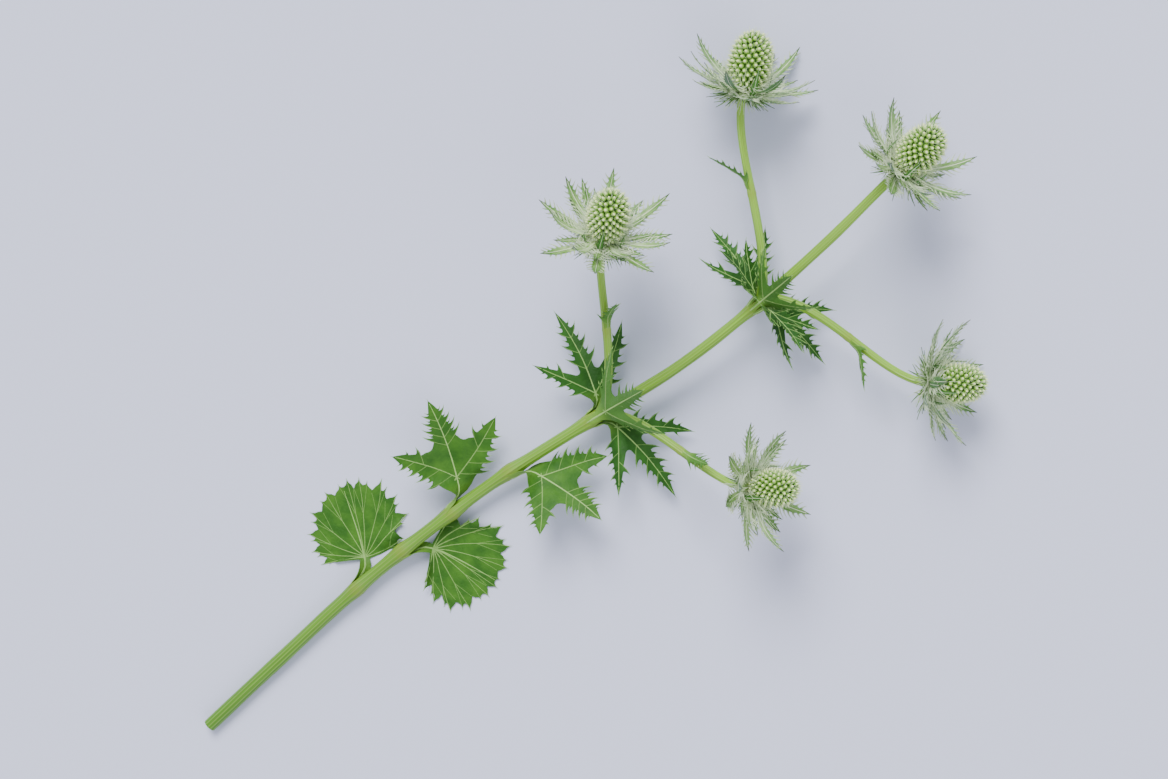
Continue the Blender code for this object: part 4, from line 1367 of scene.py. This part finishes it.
def fan_leaf(stalk, radius, teeth, depth, base, draw):
    """A broad leaf: a clasping stalk, then a round blade with uneven spiny teeth, as outline and veins."""
    centre = stalk + radius * 0.42
    phase = draw.uniform(0, math.tau)

    def rim(turn):
        return radius * (0.86 + 0.14 * math.cos(turn)) * (1 + 0.035 * math.sin(3 * turn + phase))

    def at(turn, reach):
        return centre + reach * math.cos(turn), reach * math.sin(turn)

    sweep = math.radians(134)
    outline = base_edge(base)[::-1] + [(stalk * 0.3, -base * 0.9), (stalk * 0.8, -2.6)]
    veins = [([(1.0, 0.0), (stalk * 0.8, 0.0), (centre + radius, 0.0)], *FAN_MIDRIB)]
    for tooth in range(teeth):
        low = -sweep + 2 * sweep * tooth / teeth
        high = -sweep + 2 * sweep * (tooth + 1) / teeth
        forward = high > 0.001
        profile = FAN_TOOTH if forward else [(1 - part, out) for part, out in reversed(FAN_TOOTH)]
        tall = depth * draw.uniform(0.75, 1.35)
        outline.append(at(low, rim(low) - draw.uniform(0.0, 1.4)))
        for part, out in profile:
            turn = low + (high - low) * part
            outline.append(at(turn, rim(turn) + tall * out))
        tip = low + (high - low) * (0.26 if forward else 0.74)
        end = at(tip, rim(tip) + tall * 0.9)
        start = (stalk * 0.8 + 1.5 * abs(math.cos(tip / 2)), 0.0)
        bend = (start[0] + (end[0] - start[0]) * 0.55, end[1] * 0.62)
        veins.append(([start, bend, end], *FAN_VEIN))
        for part, out in ((0.64, 0.5), (0.02, -0.25)):
            small = low + (high - low) * (part if forward else 1 - part)
            veins.append(([bend, at(small, rim(small) + tall * out)], *FAN_SMALL_VEIN))
    outline += [at(sweep, rim(sweep)), (stalk * 0.8, 2.6), (stalk * 0.3, base * 0.9)]
    return outline, veins


def waves(height, spacing):
    """Shallow waves over a leaf, none at its clasping base."""
    def puff(along, across):
        fade = clamped((along - 12.0) / 10.0)
        return height * fade * math.sin(along / spacing + 0.5) * math.sin(across / spacing * 1.1 + 0.8)

    return puff


class SEAHOLLY_OT_lower_leaves(bpy.types.Operator):
    """Adds the broad leaves low on the main stem"""
    bl_idname = "seaholly.lower_leaves"
    bl_label = "Lower leaves"

    def execute(self, context):
        main, _ = all_stems()
        material = leaf_material("broad_leaf", settings().leaf_light, "42721f", "5f8a3a")
        for number, row in enumerate(LOWER_LEAVES):
            kind, distance, azimuth, spread, droop, cup, face_up, size, above = row
            if kind == "fan":
                drawing = fan_leaf(24 * size, 28 * size, 11, 5.5 * size, 5.0,
                                   random.Random(700 + number))
            else:
                drawing = cut_leaf(60 * size, 20 * size, 4.0, 7.6 * size, 4.6 * size, 50.0, 0.86, 4)
            shape_row = (80.0, 6.0, 14.0, spread, droop, cup, face_up)
            add_leaf("lower_leaf_%d" % (number + 1), main, distance, azimuth, drawing, shape_row, material,
                     FLOOR + above, (0.2, waves(0.8, 7.5)))
        return {"FINISHED"}


# The leaves round each branch node: where they are, how they are cut (fork, base, lobe width, reach of
# a tooth, angle of a side lobe), their sheath, opening and cup, and the height and spacing of their waves
NODE_LEAVES = (
    ("middle_leaf", MIDDLE_LEAVES, MIDDLE_NODE, (17.0, 2.6, 5.0, 5.2, 46.0), 5.0, 12.0, 0.02, (0.4, 5.0)),
    ("whorl_leaf", WHORL_LEAVES, WHORL_NODE, (13.0, 1.6, 3.8, 4.8, 44.0), 4.0, 9.0, 0.03, (0.3, 4.4)),
)


class SEAHOLLY_OT_cut_leaves(bpy.types.Operator):
    """Adds the cut leaves at the two branch nodes and on the side stems"""
    bl_idname = "seaholly.cut_leaves"
    bl_label = "Cut leaves"

    def execute(self, context):
        main, sides = all_stems()
        material = leaf_material("cut_leaf", settings().leaf_dark, "2f601e", "4b7a30")
        floor = FLOOR + LEAF_CLEARANCE
        for kind, rows, distance, drawn, sheath, opening, cup, relief in NODE_LEAVES:
            for number, (azimuth, spread, droop, face_up, length) in enumerate(rows):
                shape_row = (length + 4, sheath, opening, spread, droop, cup, face_up)
                add_leaf("%s_%d" % (kind, number + 1), main, distance, azimuth, cut_leaf(length, *drawn),
                         shape_row, material, floor, (0.34, waves(*relief)))
        shape_row = (SIDE_LEAF_LENGTH + 2, 4.0, 8.0)
        for number, (index, part, azimuth, spread) in enumerate(SIDE_LEAVES):
            stem = sides[index]
            add_leaf("side_leaf_%d" % (number + 1), stem, stem.length * part, azimuth,
                     strap_leaf(SIDE_LEAF_LENGTH, 2.0, 2.6, 3, 4.0), shape_row + (spread, 0.3, 0.03, 0.0),
                     material, floor, (0.3, waves(0.15, 3.0)))
        return {"FINISHED"}


# The camera looks down on the stem as it lies, turned so that it runs up the picture to the right
CAMERA_TARGET = Vector((-0.014, 0.026, 0.03))
CAMERA_DISTANCE = 1.72
CAMERA_TILT = 12.0
CAMERA_ROLL = 54.0
CAMERA_LENS = 100.0

# Each broad soft light: the way it comes from, how wide it is in degrees, and its strength
LIGHTS = (
    ((-0.75, 0.45, 0.9), 30.0, 4.3),
    ((0.9, 0.2, 0.7), 50.0, 0.9),
)
SKY_COLOUR = "dfe1ea"
SKY_STRENGTH = 1.02
FLOOR_REACH = 6.0


class SEAHOLLY_OT_stage(bpy.types.Operator):
    """Adds the pale floor, the soft studio lights and the camera"""
    bl_idname = "seaholly.stage"
    bl_label = "Stage"

    def execute(self, context):
        self.add_floor()
        self.add_world()
        self.add_lights()
        self.add_camera(context)
        return {"FINISHED"}

    def add_floor(self):
        shape = bmesh.new()
        bmesh.ops.create_grid(shape, x_segments=1, y_segments=1, size=FLOOR_REACH)
        mesh = bpy.data.meshes.new("floor")
        shape.to_mesh(mesh)
        shape.free()
        material = bpy.data.materials.new("matt_studio_floor")
        material.use_nodes = True
        shader = material.node_tree.nodes["Principled BSDF"]
        shader.inputs["Base Color"].default_value = colour_value(settings().floor)
        shader.inputs["Roughness"].default_value = 0.9
        shader.inputs["Specular IOR Level"].default_value = 0.15
        mesh.materials.append(material)
        floor = bpy.data.objects.new("floor", mesh)
        bpy.context.scene.collection.objects.link(floor)

    def add_world(self):
        world = bpy.data.worlds.new("studio")
        world.use_nodes = True
        background = world.node_tree.nodes["Background"]
        background.inputs["Color"].default_value = colour_value(SKY_COLOUR)
        background.inputs["Strength"].default_value = SKY_STRENGTH
        bpy.context.scene.world = world

    def add_lights(self):
        for number, (way, width, strength) in enumerate(LIGHTS):
            light = bpy.data.lights.new("soft_light_%d" % (number + 1), "SUN")
            light.angle = math.radians(width)
            light.energy = strength
            lamp = bpy.data.objects.new(light.name, light)
            lamp.location = way
            lamp.rotation_euler = Vector(way).to_track_quat("Z", "Y").to_euler()
            bpy.context.scene.collection.objects.link(lamp)

    def add_camera(self, context):
        tilt = math.radians(CAMERA_TILT)
        roll = math.radians(CAMERA_ROLL)
        back = Vector((0, math.sin(tilt), math.cos(tilt)))
        right = Vector((math.cos(roll), math.sin(roll), 0.0))
        right = (right - back * right.dot(back)).normalized()
        up = back.cross(right)
        camera = bpy.data.cameras.new("camera")
        camera.lens = CAMERA_LENS
        camera.clip_end = 20.0
        eye = bpy.data.objects.new("camera", camera)
        eye.matrix_world = (Matrix.Translation(CAMERA_TARGET + back * CAMERA_DISTANCE)
                            @ Matrix((right, up, back)).transposed().to_4x4())
        bpy.context.scene.collection.objects.link(eye)
        context.scene.camera = eye


class SEAHOLLY_PT_panel(bpy.types.Panel):
    """Sizes and colours of the stem, and its pieces"""
    bl_label = "Sea Holly"
    bl_idname = "SEAHOLLY_PT_panel"
    bl_space_type = "VIEW_3D"
    bl_region_type = "UI"
    bl_category = "Sea Holly"

    def draw(self, context):
        column = self.layout.column()
        for name in SeaHollySettings.__annotations__:
            column.prop(context.scene.sea_holly, name)
        for operator in OPERATORS:
            column.operator(operator.bl_idname)


OPERATORS = (SEAHOLLY_OT_stalks, SEAHOLLY_OT_cones, SEAHOLLY_OT_ruffs, SEAHOLLY_OT_lower_leaves,
             SEAHOLLY_OT_cut_leaves, SEAHOLLY_OT_stage)


def register():
    for item in (SeaHollySettings, *OPERATORS, SEAHOLLY_PT_panel):
        bpy.utils.register_class(item)
    bpy.types.Scene.sea_holly = bpy.props.PointerProperty(type=SeaHollySettings)


def unregister():
    del bpy.types.Scene.sea_holly
    for item in (SEAHOLLY_PT_panel, *reversed(OPERATORS), SeaHollySettings):
        bpy.utils.unregister_class(item)


def main():
    register()
    bpy.ops.seaholly.stalks()
    bpy.ops.seaholly.cones()
    bpy.ops.seaholly.ruffs()
    bpy.ops.seaholly.lower_leaves()
    bpy.ops.seaholly.cut_leaves()
    bpy.ops.seaholly.stage()
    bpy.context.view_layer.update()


if __name__ == "__main__":
    main()
